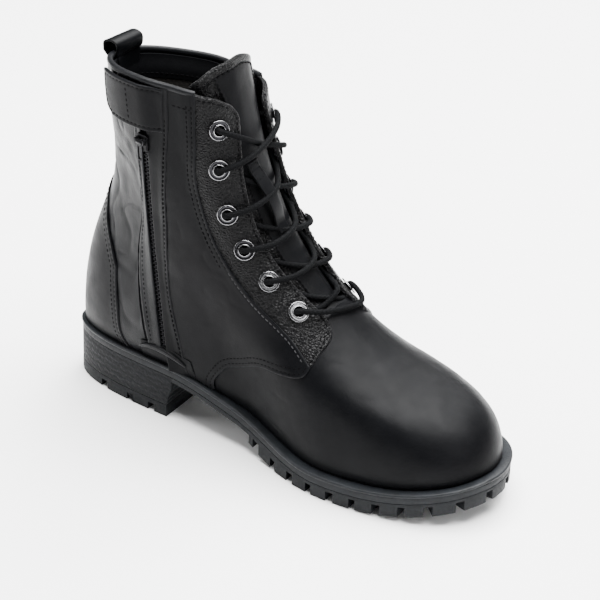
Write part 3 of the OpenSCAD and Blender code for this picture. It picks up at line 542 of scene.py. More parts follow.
def laid_out(surface, step):
    """u and v of a grid over a surface patch, with close lines beside its edges."""
    n = 41
    k = np.linspace(0, 1, n)
    p = surface(*np.meshgrid(k, k))[0]
    run_u = np.concatenate([np.zeros((n, 1)), np.cumsum(np.linalg.norm(np.diff(p, axis=1), axis=2), 1)], 1)
    run_v = np.concatenate([np.zeros((1, n)), np.cumsum(np.linalg.norm(np.diff(p, axis=0), axis=2), 0)], 0)
    run_u, run_v = run_u + k[None] * 1e-4, run_v + k[:, None] * 1e-4
    wide, high = run_u[:, -1], run_v[-1]
    at_u, at_v = ruler(wide, max(2, int(wide.max() / step))), ruler(high, max(2, int(high.max() / step)))
    u_of = np.array([np.interp(at_u[j], run_u[j], k) for j in range(n)])
    v_of = np.array([np.interp(at_v[i], run_v[:, i], k) for i in range(n)])
    columns, rows = u_of.shape[1], v_of.shape[1]
    u, v = np.meshgrid(np.linspace(0, 1, columns), np.linspace(0, 1, rows))
    for _ in range(5):
        for a in range(columns):
            u[:, a] = np.interp(v[:, a], k, u_of[:, a])
        for b in range(rows):
            v[b] = np.interp(u[b], k, v_of[:, b])
    return u, v


def on_skin(bottom, top, left, right):
    """Surface patch of the upper between four seams."""
    bottom, top, left, right = (np.asarray(p, float) for p in (bottom, top, left, right))

    def surface(u, v):
        a, b = u[..., None], v[..., None]
        place = ((1 - b) * along(bottom, u) + b * along(top, u)
                 + (1 - a) * along(left, v) + a * along(right, v)
                 - (1 - a) * (1 - b) * bottom[0] - a * (1 - b) * bottom[-1]
                 - (1 - a) * b * top[0] - a * b * top[-1])
        return shape(place[..., 0], place[..., 1]), outward(place[..., 0], place[..., 1]), place
    return surface


def side_line(surface, side):
    k = np.linspace(0, 1, 300)
    u, v = {"bottom": (k, k * 0), "top": (k, k * 0 + 1), "left": (k * 0, k), "right": (k * 0 + 1, k)}[side]
    return surface(u, v)[0]


def panel(name, surface, material, out=0.0, thick=1.8, roll=(), under=(), lift=0.6, reach=7.0, radius=0.8,
          stitched=(), step=2.4, rumple=None, lap=4.0, **rest):
    """Closed leather panel: rolled free edges that stand proud, and edges that run on under a neighbour."""
    u, v = laid_out(surface, step)
    p, n, place = surface(u, v)
    base = np.full(u.shape, float(out)) if not callable(out) else out(place)
    wear = np.zeros(u.shape)
    groove = np.zeros(u.shape)
    fall = np.zeros(u.shape)
    rise = np.zeros(u.shape)
    for side in roll:
        d = distance_to(p, side_line(surface, side))
        rise = np.maximum(rise, lift * smooth(1 - d / reach))
        fall = np.maximum(fall, radius - np.sqrt(np.maximum(0, radius ** 2 - np.maximum(0, radius - d) ** 2)))
        wear = np.maximum(wear, np.exp(-(d / 0.9) ** 2))
        if side in stitched:
            groove = np.maximum(groove, 0.2 * np.exp(-((d - 2.3) / 0.5) ** 2))
    height = base + rise - fall - groove
    if rumple is not None:
        height = height + rumple(p, place)
    lower = base - thick
    for side in under:
        axis = 0 if side in ("bottom", "top") else 1
        first = side in ("bottom", "left")
        edge, ref = (0, 8) if first else (-1, -9)
        pe, pr = np.take(p, edge, axis), np.take(p, ref, axis)
        d = unit(pe - pr)
        new_p = [pe + x * d for x in (0.3, lap)]
        ne, he, le, we = (np.take(q, edge, axis) for q in (n, height, lower, wear))
        new = [new_p, [ne, ne], [he - 0.9, he - 1.5], [le - 0.4, le - 0.6], [we * 0, we * 0]]
        if first:
            new = [q[::-1] for q in new]
        old = [p, n, height, lower, wear]
        joined = [np.concatenate([np.stack(q, axis), o] if first else [o, np.stack(q, axis)], axis)
                  for q, o in zip(new, old)]
        p, n, height, lower, wear = joined
    rows, columns = height.shape
    outer = (p + height[..., None] * n).reshape(-1, 3)
    inner = (p + lower[..., None] * n).reshape(-1, 3)
    count = rows * columns
    loop = rim_loop(rows, columns)
    ahead = np.roll(loop, -1)
    walls = np.stack([loop, loop + count, ahead + count, ahead], 1)
    faces = [np.concatenate([grid_faces(rows, columns), grid_faces(rows, columns, count)[:, ::-1], walls])]
    wear = np.concatenate([wear.ravel(), wear.ravel() * 0])
    return build(name, np.concatenate([outer, inner]), faces, material, wear=wear, **rest)


def swept(centres, side, normal, profile, caps=True):
    """Verts and faces of a closed profile [(side, normal), ...] carried along a line."""
    profile = np.asarray(profile, float)
    if profile.ndim == 2:
        profile = np.repeat(profile[None], len(centres), 0)
    verts = centres[:, None] + profile[..., :1] * side[:, None] + profile[..., 1:] * normal[:, None]
    rows, columns = verts.shape[:2]
    faces = [grid_faces(rows, columns, closed=True)]
    verts = verts.reshape(-1, 3)
    if caps:
        ends = np.array([verts[:columns].mean(0), verts[-columns:].mean(0)])
        k = np.arange(columns)
        total = rows * columns
        first = np.stack([k, (k + 1) % columns, np.full(columns, total)], 1)
        last = np.stack([(rows - 1) * columns + k, (rows - 1) * columns + (k + 1) % columns,
                         np.full(columns, total + 1)], 1)
        faces.append(np.concatenate([first, last]))
        verts = np.concatenate([verts, ends])
    return verts, faces


def together(parts):
    verts, faces, start = [], [], 0
    for v, f in parts:
        verts.append(v)
        faces += [np.asarray(q) + start for q in f]
        start += len(v)
    return np.concatenate(verts), faces


def strap_profile(width, thick, radius=0.5, crown=0.0, steps=3):
    """Rounded rectangle, a little higher in the middle."""
    a = np.linspace(0, math.pi / 2, steps + 1)
    w, t = width / 2 - radius, thick / 2 - radius
    corners = []
    for cx, cy, turn in ((w, t, 0), (-w, t, 1), (-w, -t, 2), (w, -t, 3)):
        corners.append(np.stack([cx + radius * np.cos(a + turn * math.pi / 2),
                                 cy + radius * np.sin(a + turn * math.pi / 2)], 1))
    q = []
    for k in range(4):
        q.append(corners[k])
        nxt = corners[(k + 1) % 4][0]
        q.append(mix(corners[k][-1][None], nxt[None], np.linspace(0, 1, 6)[1:-1, None]))
    q = np.concatenate(q)
    q[:, 1] += np.where(q[:, 1] > 0, crown * (1 - (2 * q[:, 0] / width) ** 2), 0)
    return q


def resampled(line, count):
    line = np.asarray(line, float)
    run = np.concatenate([[0], np.cumsum(np.linalg.norm(np.diff(line, axis=0), axis=1))])
    at = np.linspace(0, run[-1], count)
    return np.stack([np.interp(at, run, line[:, k]) for k in range(3)], 1)


def tangents(line):
    return unit(np.gradient(line, axis=0))


def carried_normals(line, first):
    t = tangents(line)
    normals = [unit(first - np.dot(first, t[0]) * t[0])]
    for k in range(1, len(line)):
        n = normals[-1] - np.dot(normals[-1], t[k]) * t[k]
        normals.append(unit(n))
    return np.array(normals)


# ---- stitching ----
def seam_places(seam, inset=0.0, count=240, span=(0.0, 1.0)):
    """Dense places beside a seam, inset mm to its left as it runs, seen from outside."""
    u = np.linspace(span[0], span[1], count)
    place = along(seam, u)
    if inset:
        s, t = place[:, 0], place[:, 1]
        e = 0.002
        ds, dt = (shape(s + e, t) - shape(s - e, t)) / (2 * e), (shape(s, t + e) - shape(s, t - e)) / (2 * e)
        run = tangents(shape(s, t))
        left = np.cross(outward(s, t), run) * inset
        a, b, c = (ds * ds).sum(1), (ds * dt).sum(1), (dt * dt).sum(1)
        x, y = (ds * left).sum(1), (dt * left).sum(1)
        det = a * c - b * b
        place = place + np.stack([(c * x - b * y) / det, (a * y - b * x) / det], 1)
    return place


STITCH_RINGS = np.array([[-0.5, 0.30], [-0.42, 0.75], [-0.2, 1.0], [0.2, 1.0], [0.42, 0.75], [0.5, 0.30]])


def stitches(line, normal, pitch=3.0, length=2.2, radius=0.38, sink=0.02):
    """Verts and faces of a row of stitches along a dense line."""
    run = np.concatenate([[0], np.cumsum(np.linalg.norm(np.diff(line, axis=0), axis=1))])
    count = max(1, int(run[-1] / pitch))
    at = (np.arange(count) + 0.5) * run[-1] / count
    p = np.stack([np.interp(at, run, line[:, k]) for k in range(3)], 1)
    t = tangents(line)
    t = unit(np.stack([np.interp(at, run, t[:, k]) for k in range(3)], 1))
    n = unit(np.stack([np.interp(at, run, normal[:, k]) for k in range(3)], 1))
    side = unit(np.cross(n, t))
    n = np.cross(t, side)
    sides = 8
    a = np.arange(sides) * 2 * math.pi / sides
    ring = np.stack([np.cos(a), np.sin(a)], 1)
    x, r = STITCH_RINGS[:, 0] * length, STITCH_RINGS[:, 1] * radius
    bow = -0.5 * radius * (2 * STITCH_RINGS[:, 0]) ** 2 - sink
    verts = (p[:, None, None] + x[None, :, None, None] * t[:, None, None]
             + (r[:, None] * ring[:, 0])[None, ..., None] * side[:, None, None]
             + (r[:, None] * ring[:, 1] * 0.8 + bow[:, None])[None, ..., None] * n[:, None, None])
    rings = len(x)
    per = rings * sides
    body = grid_faces(rings, sides, closed=True)
    caps = np.array([np.arange(sides), (rings - 1) * sides + np.arange(sides)])
    start = (np.arange(count) * per)[:, None, None]
    faces = [(body[None] + start).reshape(-1, 4), (caps[None] + start).reshape(-1, sides)]
    return verts.reshape(-1, 3), faces


def seam_stitches(seam, inset, out, span=(0.0, 1.0), **kind):
    place = seam_places(seam, inset, span=span)
    s, t = place[:, 0], place[:, 1]
    return stitches(skin(s, t, np.full(len(s), float(out))), outward(s, t), **kind)


# ---- upper ----
THROAT = [0, 0.565]
TOPLINE = 0.995
VAMP_OUT, REAR_OUT, COUNTER_OUT, FACING_T = -0.8, -0.5, 0.15, 2.6
# The facing's visible outline has rounded corners at the throat and at the collar
ROUND_END = [FACING_FOOT, [0.122, 0.452], [0.098, 0.482], [0.078, 0.503], [0.059, 0.525]]
ROUND_FRONT = [[0.059, 0.525], [0.052, 0.553], [0.060, 0.590], [0.073, 0.645], [0.080, 0.70], [0.075, 0.77],
               [0.064, 0.84], [0.050, 0.91], [0.046, 0.95], [0.058, 0.976]]


def reverse(points):
    return list(points)[::-1]


def rumpled(amount, size, stretch=(1, 1, 1), seed=0, where=None):
    """Soft wrinkles with sharper valleys."""
    def field(p, place):
        q = p * np.asarray(stretch, float)
        broad = value_noise(q, size, seed)
        crease = 1 - np.abs(value_noise(q, size * 0.7, seed + 1))
        height = amount * (0.6 * broad - 0.7 * crease ** 8 + 0.25 * value_noise(q, size * 0.3, seed + 2))
        return height if where is None else height * where(p, place)
    return field


def ankle_zone(p, place):
    """Most of the creasing is where the ankle bends."""
    return 0.25 + 0.75 * np.exp(-((p[..., 2] - 125) / 38) ** 2)


def make_upper():
    vamp_top = (mirrored(QUARTER_EDGE) + mirrored(FACING_END[1:]) + [THROAT] + reverse(FACING_END)
                + reverse(QUARTER_EDGE[:-1]))
    vamp_bottom = [[p[0], SOLE_T] for p in vamp_top]
    panel("vamp_leather", on_skin(vamp_bottom, vamp_top, [vamp_bottom[0], vamp_top[0]],
                                  [[0.286, SOLE_T], QUARTER_FOOT]), "smooth", VAMP_OUT, 1.5, under=("top",),
          nodes=("vamp",), slot="leather", rumple=rumpled(0.22, 26, seed=5))
    panel("medial_quarter_leather",
          on_skin(reverse(QUARTER_EDGE) + [[0.296, SOLE_T], ZIP_SEAM[0]],
                  [FACING_SEAM[7], [0.170, TOPLINE], ZIP_SEAM[8]], FACING_SEAM, ZIP_SEAM),
          "smooth", 0, 1.6, roll=("bottom", "left"), under=("right",), stitched=("bottom", "left"),
          nodes=("medial_quarter",), slot="leather", rumple=rumpled(0.35, 22, (1, 1, 1.5), 9, ankle_zone))
    lateral_rear = [[0.342, SOLE_T]] + REAR_SEAM + [[0.290, TOPLINE]]
    panel("lateral_quarter_leather",
          on_skin(opposite([[0.342, SOLE_T], [0.314, SOLE_T]] + QUARTER_EDGE),
                  opposite([[0.290, TOPLINE], [0.213, TOPLINE], FACING_SEAM[7]]),
                  opposite(lateral_rear), opposite(FACING_SEAM)),
          "smooth", 0, 1.6, roll=("bottom", "left", "right"), stitched=("bottom", "left", "right"),
          nodes=("lateral_quarter",), slot="leather", rumple=rumpled(0.35, 22, (1, 1, 1.5), 12, ankle_zone))
    for side, name in ((-1, "medial"), (1, "lateral")):
        lower = [[0.348, SOLE_T], [0.358, SOLE_T]] + COUNTER_SIDE + COUNTER_TOP[1:]
        top = [[0.292, TOPLINE], [0.345, TOPLINE], [0.400, TOPLINE], [0.5, TOPLINE]]
        front = [[0.348, SOLE_T]] + [[p[0] + 0.004, p[1]] for p in REAR_SEAM] + [[0.292, TOPLINE]]
        back = [[0.5, 0.615], [0.5, 0.80], [0.5, TOPLINE]]
        if side < 0:
            surface, roll, under = on_skin(lower, top, front, back), ("right",), ("left", "bottom")
        else:
            surface = on_skin(opposite(reverse(lower)), opposite(reverse(top)), opposite(back),
                              opposite(front))
            roll, under = ("left",), ("right", "bottom")
        panel(name + "_rear_leather", surface, "soft", REAR_OUT, 1.5, roll=roll, under=under, lift=0.0,
              nodes=(name + "_rear_quarter",), slot="leather", step=2.0,
              rumple=rumpled(0.75, 17, (1, 1, 0.75), 20 + side))
    full_top = COUNTER_TOP + opposite(reverse(COUNTER_TOP[:-1]))
    foot = [[s, SOLE_T] for s in (0.368, 0.434, 0.5, 0.566, 0.632)]
    free = ("left", "right", "top")
    panel("counter_leather", on_skin(foot, full_top, COUNTER_SIDE, opposite(COUNTER_SIDE)),
          "smooth", COUNTER_OUT, 1.6, roll=free, stitched=free, lift=0.45, nodes=("heel_counter",),
          slot="leather", rumple=rumpled(0.15, 30, seed=31))


def strip_top(w):
    """The strips drop under the closure tab above the slider."""
    return STRIP_OUT - 14 * np.maximum(0, w - 0.985)


def strip_surface(seam, across, w0, w1, seam_first):
    def surface(u, v):
        place = along(seam, v)
        s, t = place[..., 0], place[..., 1]
        w = mix(w0, w1, v)
        edge = zip_point(w, np.full(u.shape, across), strip_top(w))
        f = (1 - u if seam_first else u)[..., None]
        return (mix(edge, shape(s, t), f), unit(mix(zip_frame(w)[2], outward(s, t), f)), place)
    return surface


def make_zip_strips():
    panel("zip_front_leather", strip_surface(ZIP_SEAM, SLIT_FRONT, -0.07, 1.13, True), "smooth", 0.1, 1.6,
          roll=("left", "right"), stitched=("left",), lift=0.5, nodes=("zip_front_strip",), slot="leather",
          rumple=rumpled(0.25, 24, seed=41))
    panel("zip_rear_leather", strip_surface(REAR_SEAM, SLIT_REAR, 0.0, 1.07, False), "soft", 0.25, 1.6,
          roll=("left", "right"), stitched=("right",), lift=0.5, nodes=("zip_rear_strip",), slot="leather",
          rumple=rumpled(0.25, 24, seed=42))


def circle_cutter(places):
    """One mesh of cylinders through the eyelets' places, to cut their holes."""
    parts = []
    a = np.linspace(0, 2 * math.pi, 33)[:-1]
    for s, t in places:
        n = outward(s, t)
        x = unit(np.cross(n, [0.2, 0.1, 1.0]))
        y = np.cross(n, x)
        ring = 3.25 * (np.cos(a)[:, None] * x + np.sin(a)[:, None] * y)
        axis = shape(s, t) + np.linspace(-7, 5, 2)[:, None] * n
        verts = (axis[:, None] + ring).reshape(-1, 3)
        parts.append((verts, [grid_faces(2, 32, closed=True), np.array([np.arange(32)]),
                              np.array([32 + np.arange(32)])]))
    return together(parts)


def cut(piece, cutter_mesh):
    """Subtract a mesh from a piece and keep the result."""
    tool = bpy.data.objects.new("cutter", cutter_mesh)
    bpy.context.scene.collection.objects.link(tool)
    b = piece.modifiers.new("cut", "BOOLEAN")
    b.operation, b.solver, b.object = "DIFFERENCE", "EXACT", tool
    bpy.context.view_layer.update()
    done = bpy.data.meshes.new_from_object(piece.evaluated_get(bpy.context.evaluated_depsgraph_get()))
    piece.modifiers.clear()
    old, name = piece.data, piece.data.name
    piece.data = done
    bpy.data.meshes.remove(old)
    done.name = name
    bpy.data.objects.remove(tool)


def flared(place):
    """The outer facing's lower corner stands off the vamp."""
    s, t = place[..., 0], place[..., 1]
    return -0.15 + 2.0 * np.exp(-((s + 0.058) / 0.022) ** 2 - ((t - 0.525) / 0.03) ** 2)


def make_facings():
    top = [ROUND_FRONT[-1], [0.090, 0.990], FACING_SEAM[7]]
    medial = on_skin(reverse(ROUND_END), top, ROUND_FRONT, FACING_SEAM)
    lateral = on_skin(mirrored(ROUND_END), mirrored(reverse(top)), mirrored(FACING_SEAM),
                      mirrored(ROUND_FRONT))
    for name, surface, roll, under, places in (
            ("medial", medial, ("left", "bottom", "top"), ("right",), EYELETS),
            ("lateral", lateral, ("right", "bottom", "top"), ("left",), LATERAL_EYELETS)):
        piece = panel(name + "_facing_leather", surface, "pebbled", flared, FACING_T, roll=roll, under=under,
                      lift=0.3, reach=5.0, radius=1.1, stitched=roll, nodes=(name + "_facing",),
                      slot="facing_leather", rumple=rumpled(0.25, 9, seed=50))
        verts, faces = circle_cutter(places)
        mesh = bpy.data.meshes.new("cutter")
        mesh.from_pydata((verts * MM).tolist(), [], [q.tolist() for f in faces for q in f])
        b = bmesh.new()
        b.from_mesh(mesh)
        bmesh.ops.recalc_face_normals(b, faces=b.faces)
        b.to_mesh(mesh)
        b.free()
        cut(piece, mesh)


# ---- tongue ----
TONGUE_LEFT = [[-0.075, 0.535], [-0.120, 0.66], [-0.130, 0.78], [-0.128, 0.90], [-0.115, 1.00]]
TONGUE_RIGHT = [[0.075, 0.535], [0.120, 0.66], [0.130, 0.78], [0.128, 0.90], [0.155, 0.997]]
TONGUE_TOP = [[-0.115, 1.00], [-0.070, 1.065], [-0.010, 1.092], [0.045, 1.068], [0.100, 1.030],
              [0.155, 0.997]]
TONGUE_BOTTOM = [[-0.075, 0.535], [0, 0.552], [0.075, 0.535]]
TONGUE_T = 1.8
GUSSET_AT = 0.29


def tongue_out(s):
    return -3.8 - 4.2 * smooth((np.abs(s) - 0.02) / 0.06)


def make_tongue():
    whole = on_skin(TONGUE_BOTTOM, TONGUE_TOP, TONGUE_LEFT, TONGUE_RIGHT)

    def part(u0, u1):
        return lambda u, v: whole(mix(u0, u1, u), v)

    def height(place):
        return tongue_out(place[..., 0])
    parts = (("tongue_centre", GUSSET_AT, 1 - GUSSET_AT, "tongue", 0.2, 20, ("left", "right", "top")),
             ("tongue_lateral_gusset", 0.0, GUSSET_AT, "pebbled", 0.9, 11, ("top",)),
             ("tongue_medial_gusset", 1 - GUSSET_AT, 1.0, "pebbled", 0.9, 11, ("top",)))
    for name, u0, u1, material, amount, size, roll in parts:
        panel(name, part(u0, u1), material, height, TONGUE_T, roll=roll,
              lift=0.35 if "centre" in name else 0.0, reach=4.0, stitched=roll, nodes=("tongue",),
              slot="tongue_leather", step=2.0, rumple=rumpled(amount, size, (1, 1, 1.3), 60))
    u = np.linspace(0, 1, 150)
    place = along(TONGUE_TOP, u)
    s, t = place[:, 0], place[:, 1]
    centre = skin(s, t - 0.004, tongue_out(s) - TONGUE_T / 2)
    normal = outward(s, np.minimum(t, 1))
    run = tangents(centre)
    up = unit(np.cross(normal, run))
    profile = strap_profile(5.0, TONGUE_T + 1.5, 1.2, 0.1)
    verts, faces = swept(centre, up, unit(np.cross(run, up)), profile)
    build("tongue_binding", verts, faces, "pebbled", slot="tongue_leather")
    line = skin(s, t - 0.017, tongue_out(s) + 0.75)
    rows = [stitches(line, normal, 3.4, 2.4, 0.42)]
    for at in (GUSSET_AT, 1 - GUSSET_AT):
        k = np.linspace(0.02, 0.97, 160)
        inward = 0.012 if at < 0.5 else -0.012
        p, n, place = whole(np.full(k.shape, at + inward), k)
        rows.append(stitches(p + (height(place) + 0.2)[:, None] * n, n))
    build("tongue_stitches", *together(rows), "thread", slot="tongue_leather")


KEEPER_PLACES = [[0.036, 0.845], [0.030, 0.80], [0.022, 0.75], [0.016, 0.71]]


def make_keeper():
    v = np.linspace(0, 1, 60)
    place = along(KEEPER_PLACES, v)
    s, t = place[:, 0], place[:, 1]
    lift = 0.2 + 4.4 * np.sin(math.pi * clamp((v - 0.12) / 0.76))
    h = tongue_out(0) + lift + 1.5
    centre = skin(s, t, h)
    normal = outward(s, t)
    run = tangents(centre)
    side = unit(np.cross(run, normal))
    normal = np.cross(side, run)
    verts, faces = swept(centre, side, normal, strap_profile(8.6, 1.5, 0.5, 0.25))
    build("keeper_leather", verts, faces, "tongue", nodes=("lace_keeper",), slot="tongue_leather")
    rows = []
    top = slice(2, 16)
    for x in (-3.0, 3.0):
        rows.append(stitches(centre[top] + x * side[top] + 0.85 * normal[top], normal[top], 2.2, 1.7, 0.3))
    for k in (2, 15):
        across = centre[k] + np.linspace(-3, 3, 20)[:, None] * side[k] + 0.95 * normal[k]
        rows.append(stitches(across, np.repeat(normal[k][None], 20, 0), 2.0, 1.6, 0.3))
    build("keeper_stitches", *together(rows), "thread", slot="tongue_leather")


# ---- collar, linings, pull loop ----
LINING_FRONT = [[0.285, 0.10], [0.232, 0.29], [0.160, 0.41], [0.166, 0.50], [0.178, 0.58], [0.190, 0.66],
                [0.190, 0.76], [0.175, 0.86], [0.140, 0.985]]
LINING_DEPTH = 4.5
LINING_TOP = 0.945


def make_linings():
    bottom = [[0.285, 0.10], [0.32, 0.06], [0.38, 0.02], [0.44, 0.02], [0.5, 0.02]]
    top = [[s, LINING_TOP] for s in (0.146, 0.23, 0.32, 0.41, 0.5)]
    back = [[0.5, 0.02], [0.5, 0.35], [0.5, 0.66], [0.5, LINING_TOP]]
    front = LINING_FRONT[:-1] + [top[0]]
    for name, surface in (("medial", on_skin(bottom, top, front, back)),
                          ("lateral", on_skin(opposite(reverse(bottom)), opposite(reverse(top)),
                                              opposite(back), opposite(front)))):
        panel(name + "_lining_cloth", surface, "lining", -LINING_DEPTH, 1.0, nodes=(name + "_lining",),
              slot="lining", step=3.0, rumple=rumpled(0.25, 18, seed=70))


def collar_line(t, out, count=260, start=0.139):
    s = np.linspace(start, 1 - start, count)
    return s, skin(s, np.full(count, t), np.full(count, float(out))), outward(s, np.full(count, t))


def band_height(place):
    """The inner band leans out to meet the rim."""
    return mix(-LINING_DEPTH - 0.5, -3.5, smooth((place[..., 1] - 0.935) / 0.05))


def make_collar():
    s, centre, normal = collar_line(TOPLINE, -1.55)
    run = tangents(centre)
    up = unit(np.cross(normal, run))
    verts, faces = swept(centre - 0.4 * up, up, unit(np.cross(run, up)), strap_profile(3.6, 3.5, 1.4, 0.1))
    fade = np.ones(len(verts)) * 0.35
    build("collar_roll", verts, faces, "soft", slot="leather", wear=fade)
    bottom = [[k, 0.915] for k in np.linspace(0.142, 0.858, 15)]
    top = [[k, 0.986] for k in np.linspace(0.142, 0.858, 15)]
    surface = on_skin(bottom, top, [bottom[0], top[0]], [bottom[-1], top[-1]])
    panel("collar_band", surface, "tongue", band_height, 1.1, slot="leather", step=3.5)
    rows = []
    s, line, normal = collar_line(0.928, -LINING_DEPTH - 1.85)
    rows.append(stitches(line, -normal))
    for first, last, out in ((0.150, 0.200, 0.1), (0.712, 0.855, 0.1)):
        k = np.linspace(first, last, 80)
        t = np.full(80, 0.957)
        rows.append(stitches(skin(k, t, np.full(80, out)), outward(k, t)))
    k = np.linspace(0.385, 0.70, 180)
    t = np.full(180, 0.957)
    rows.append(stitches(skin(k, t, np.full(180, REAR_OUT + 0.1)), outward(k, t)))
    build("collar_stitches", *together(rows), "thread", slot="leather")


LOOP_FACE = [[-124.7, 207], [-124.5, 214], [-124.3, 220], [-124.5, 224.5], [-124.1, 227.4], [-120.5, 228.6],
             [-116.9, 227.4], [-116.4, 224.5], [-116.9, 221.9], [-118.6, 219.8], [-118.8, 216], [-119.1, 209]]
LOOP_W, LOOP_T, LOOP_TURN = 22.0, 1.3, math.radians(8)


def on_collar(verts):
    """The loop's ends follow the collar's curve; its roll is straight and a little turned."""
    y, free = verts[:, 1], smooth((verts[:, 2] - 218) / 5)
    lean = mix(y * y / 70, y * math.tan(LOOP_TURN), free)
    return verts + np.stack([lean, y * 0, y * 0], 1)


def make_pull_loop():
    n = 120
    path = resampled(along([[p[0], 0, p[1]] for p in LOOP_FACE], np.linspace(0, 1, 400)), n)
    run = tangents(path)
    side = np.repeat(np.array([[0.0, 1.0, 0.0]]), n, 0)
    out = np.cross(side, run)
    path = path - LOOP_T / 2 * out
    base = strap_profile(LOOP_W, LOOP_T, 0.5, 0.15)
    profile = base[None] + np.stack([np.zeros((n, len(base))), 0.2 * value_noise(
        path[:, None] + base[None, :, :1] * side[:, None], 7, 80)], -1)
    verts, faces = swept(path, side, out, profile)
    build("pull_loop_leather", on_collar(verts), faces, "smooth", nodes=("pull_loop",), slot="leather")
    rows = []
    leg = path[:24]
    for y in (-8.5, 8.5):
        rows.append(stitches(leg + [0, y, 0] - [LOOP_T / 2 + 0.2, 0, 0], np.repeat([[-1.0, 0, 0]], 24, 0)))
    for k in (2, 22):
        y = np.linspace(-8.5, 8.5, 40)
        line = np.stack([np.full(40, path[k, 0] - LOOP_T / 2 - 0.2), y, np.full(40, path[k, 2])], 1)
        rows.append(stitches(line, np.repeat([[-1.0, 0, 0]], 40, 0)))
    verts, faces = together(rows)
    build("pull_loop_stitches", on_collar(verts), faces, "thread", slot="leather")


# ---- closure tab ----
TAB_OUT, TAB_T = 3.2, 1.6


def tab_height(place):
    return mix(0.75, TAB_OUT, smooth((place[..., 0] - 0.225) / 0.045))


def blended_tab(piece):
    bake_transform(piece)


def make_tab():
    bottom = [[0.226, 0.886], [0.250, 0.882], [0.290, 0.879], [0.325, 0.878], [0.352, 0.880]]
    top = [[0.214, 0.990], [0.250, 0.990], [0.294, 0.990], [0.335, 0.990], [0.375, 0.990]]
    right = [[0.352, 0.880], [0.364, 0.890], [0.372, 0.903], [0.375, 0.940], [0.375, 0.990]]
    surface = on_skin(bottom, top, [bottom[0], top[0]], right)
    piece = panel("closure_tab_leather", surface, "smooth", tab_height, TAB_T,
                  roll=("bottom", "right", "top", "left"), stitched=("bottom", "right", "top"), lift=0.15,
                  radius=0.7, nodes=("closure_tab",), slot="leather", ride=False, step=2.0,
                  rumple=rumpled(0.2, 22, seed=90))
    blended_tab(piece)
    rows = []
    for line, inset in ((bottom, -2.3), (right, -2.3), (top, 2.3), ([[0.298, 0.892], [0.298, 0.976]], 0.0)):
        place = seam_places(line, inset, span=(0.03, 0.97))
        s, t = place[:, 0], place[:, 1]
        rows.append(stitches(skin(s, t, tab_height(place) - 0.02), outward(s, t)))
    piece = build("closure_tab_stitches", *together(rows), "thread", slot="leather", ride=False)
    blended_tab(piece)
    bottom = [[0.300, 0.898], [0.327, 0.898], [0.355, 0.898]]
    top = [[0.300, 0.968], [0.330, 0.968], [0.360, 0.968]]
    surface = on_skin(bottom, top, [bottom[0], top[0]], [bottom[-1], top[-1]])
    panel("hook_pad_fuzz", surface, "fuzz", TAB_OUT - TAB_T - 0.05, 0.9, body="tab", nodes=("hook_pad",),
          slot="hook_and_loop", step=1.6, rumple=rumpled(0.15, 1.6, seed=95))
    panel("loop_pad_fuzz", surface, "fuzz", 0.2, 0.9, nodes=("loop_pad",), slot="hook_and_loop", step=1.6,
          rumple=rumpled(0.2, 1.4, seed=96))


# ---- seams ----
def paired_rows(*rows):
    """Stitches of rows (seam, inset, out, span) on the medial side, then on the lateral side."""
    return [seam_stitches(seam if side > 0 else mirrored(seam), side * inset, out, span)
            for side in (1, -1) for seam, inset, out, span in rows]


def make_seam_stitches():
    whole = (0.0, 1.0)
    counter = [(seam, inset, COUNTER_OUT + out, whole) for seam in (COUNTER_SIDE, COUNTER_TOP)
               for inset, out in ((2.2, 0.2), (5.6, 0.1))]
    back = [[0.5, 0.64], [0.5, 0.80], [0.5, 0.90]]
    rows = paired_rows((QUARTER_EDGE, 2.3, 0.28, (0.03, 1)), (QUARTER_EDGE, 5.4, 0.12, (0.03, 0.96)),
                       *counter, (back, 2.4, REAR_OUT, whole))
    rows.append(seam_stitches(ZIP_SEAM, 2.2, 0.38, (0.05, 0.90)))
    lateral_rear = mirrored([[0.342, SOLE_T]] + REAR_SEAM + [[0.290, 0.95]])
    for inset, out in ((2.3, 0.28), (5.4, 0.12)):
        rows.append(seam_stitches(lateral_rear, inset, out, (0.02, 1)))
    strip = strip_surface(REAR_SEAM, SLIT_REAR, 0.0, 1.07, False)
    p, n, _ = strip(np.full(200, 0.72), np.linspace(0.03, 0.97, 200))
    rows.append(stitches(p + 0.45 * n, n))
    build("seam_stitches", *together(rows), "thread", slot="leather")
    top = [ROUND_FRONT[-1], [0.090, 0.990], FACING_SEAM[7]]
    for name, material, rows in (
            ("facing_stitches", "thread", ((ROUND_END, 2.4, 0.0, (0.02, 0.97)),
                                           (ROUND_FRONT, 2.4, 0.0, (0.03, 0.95)),
                                           (top, 2.6, 0.0, (0.05, 0.95)))),
            ("lower_facing_seam_stitches", "pale_thread", ((FACING_SEAM, 2.3, 0.3, (0.03, 0.40)),)),
            ("upper_facing_seam_stitches", "thread", ((FACING_SEAM, 2.3, 0.3, (0.41, 0.97)),
                                                      (FACING_SEAM, 5.4, 0.12, (0.42, 0.97))))):
        build(name, *together(paired_rows(*rows)), material, slot="facing_leather")


# ---- eyelets ----
EYELET_RING = np.array([
    [2.90, -3.6], [3.20, -3.6], [3.25, 0.25], [5.55, 0.25], [5.85, 0.42], [5.92, 0.75], [5.78, 1.05],
    [5.45, 1.18], [5.10, 1.08], [4.70, 0.92], [4.20, 1.00], [3.75, 1.22], [3.35, 1.30], [3.05, 1.10],
    [2.90, 0.75]])


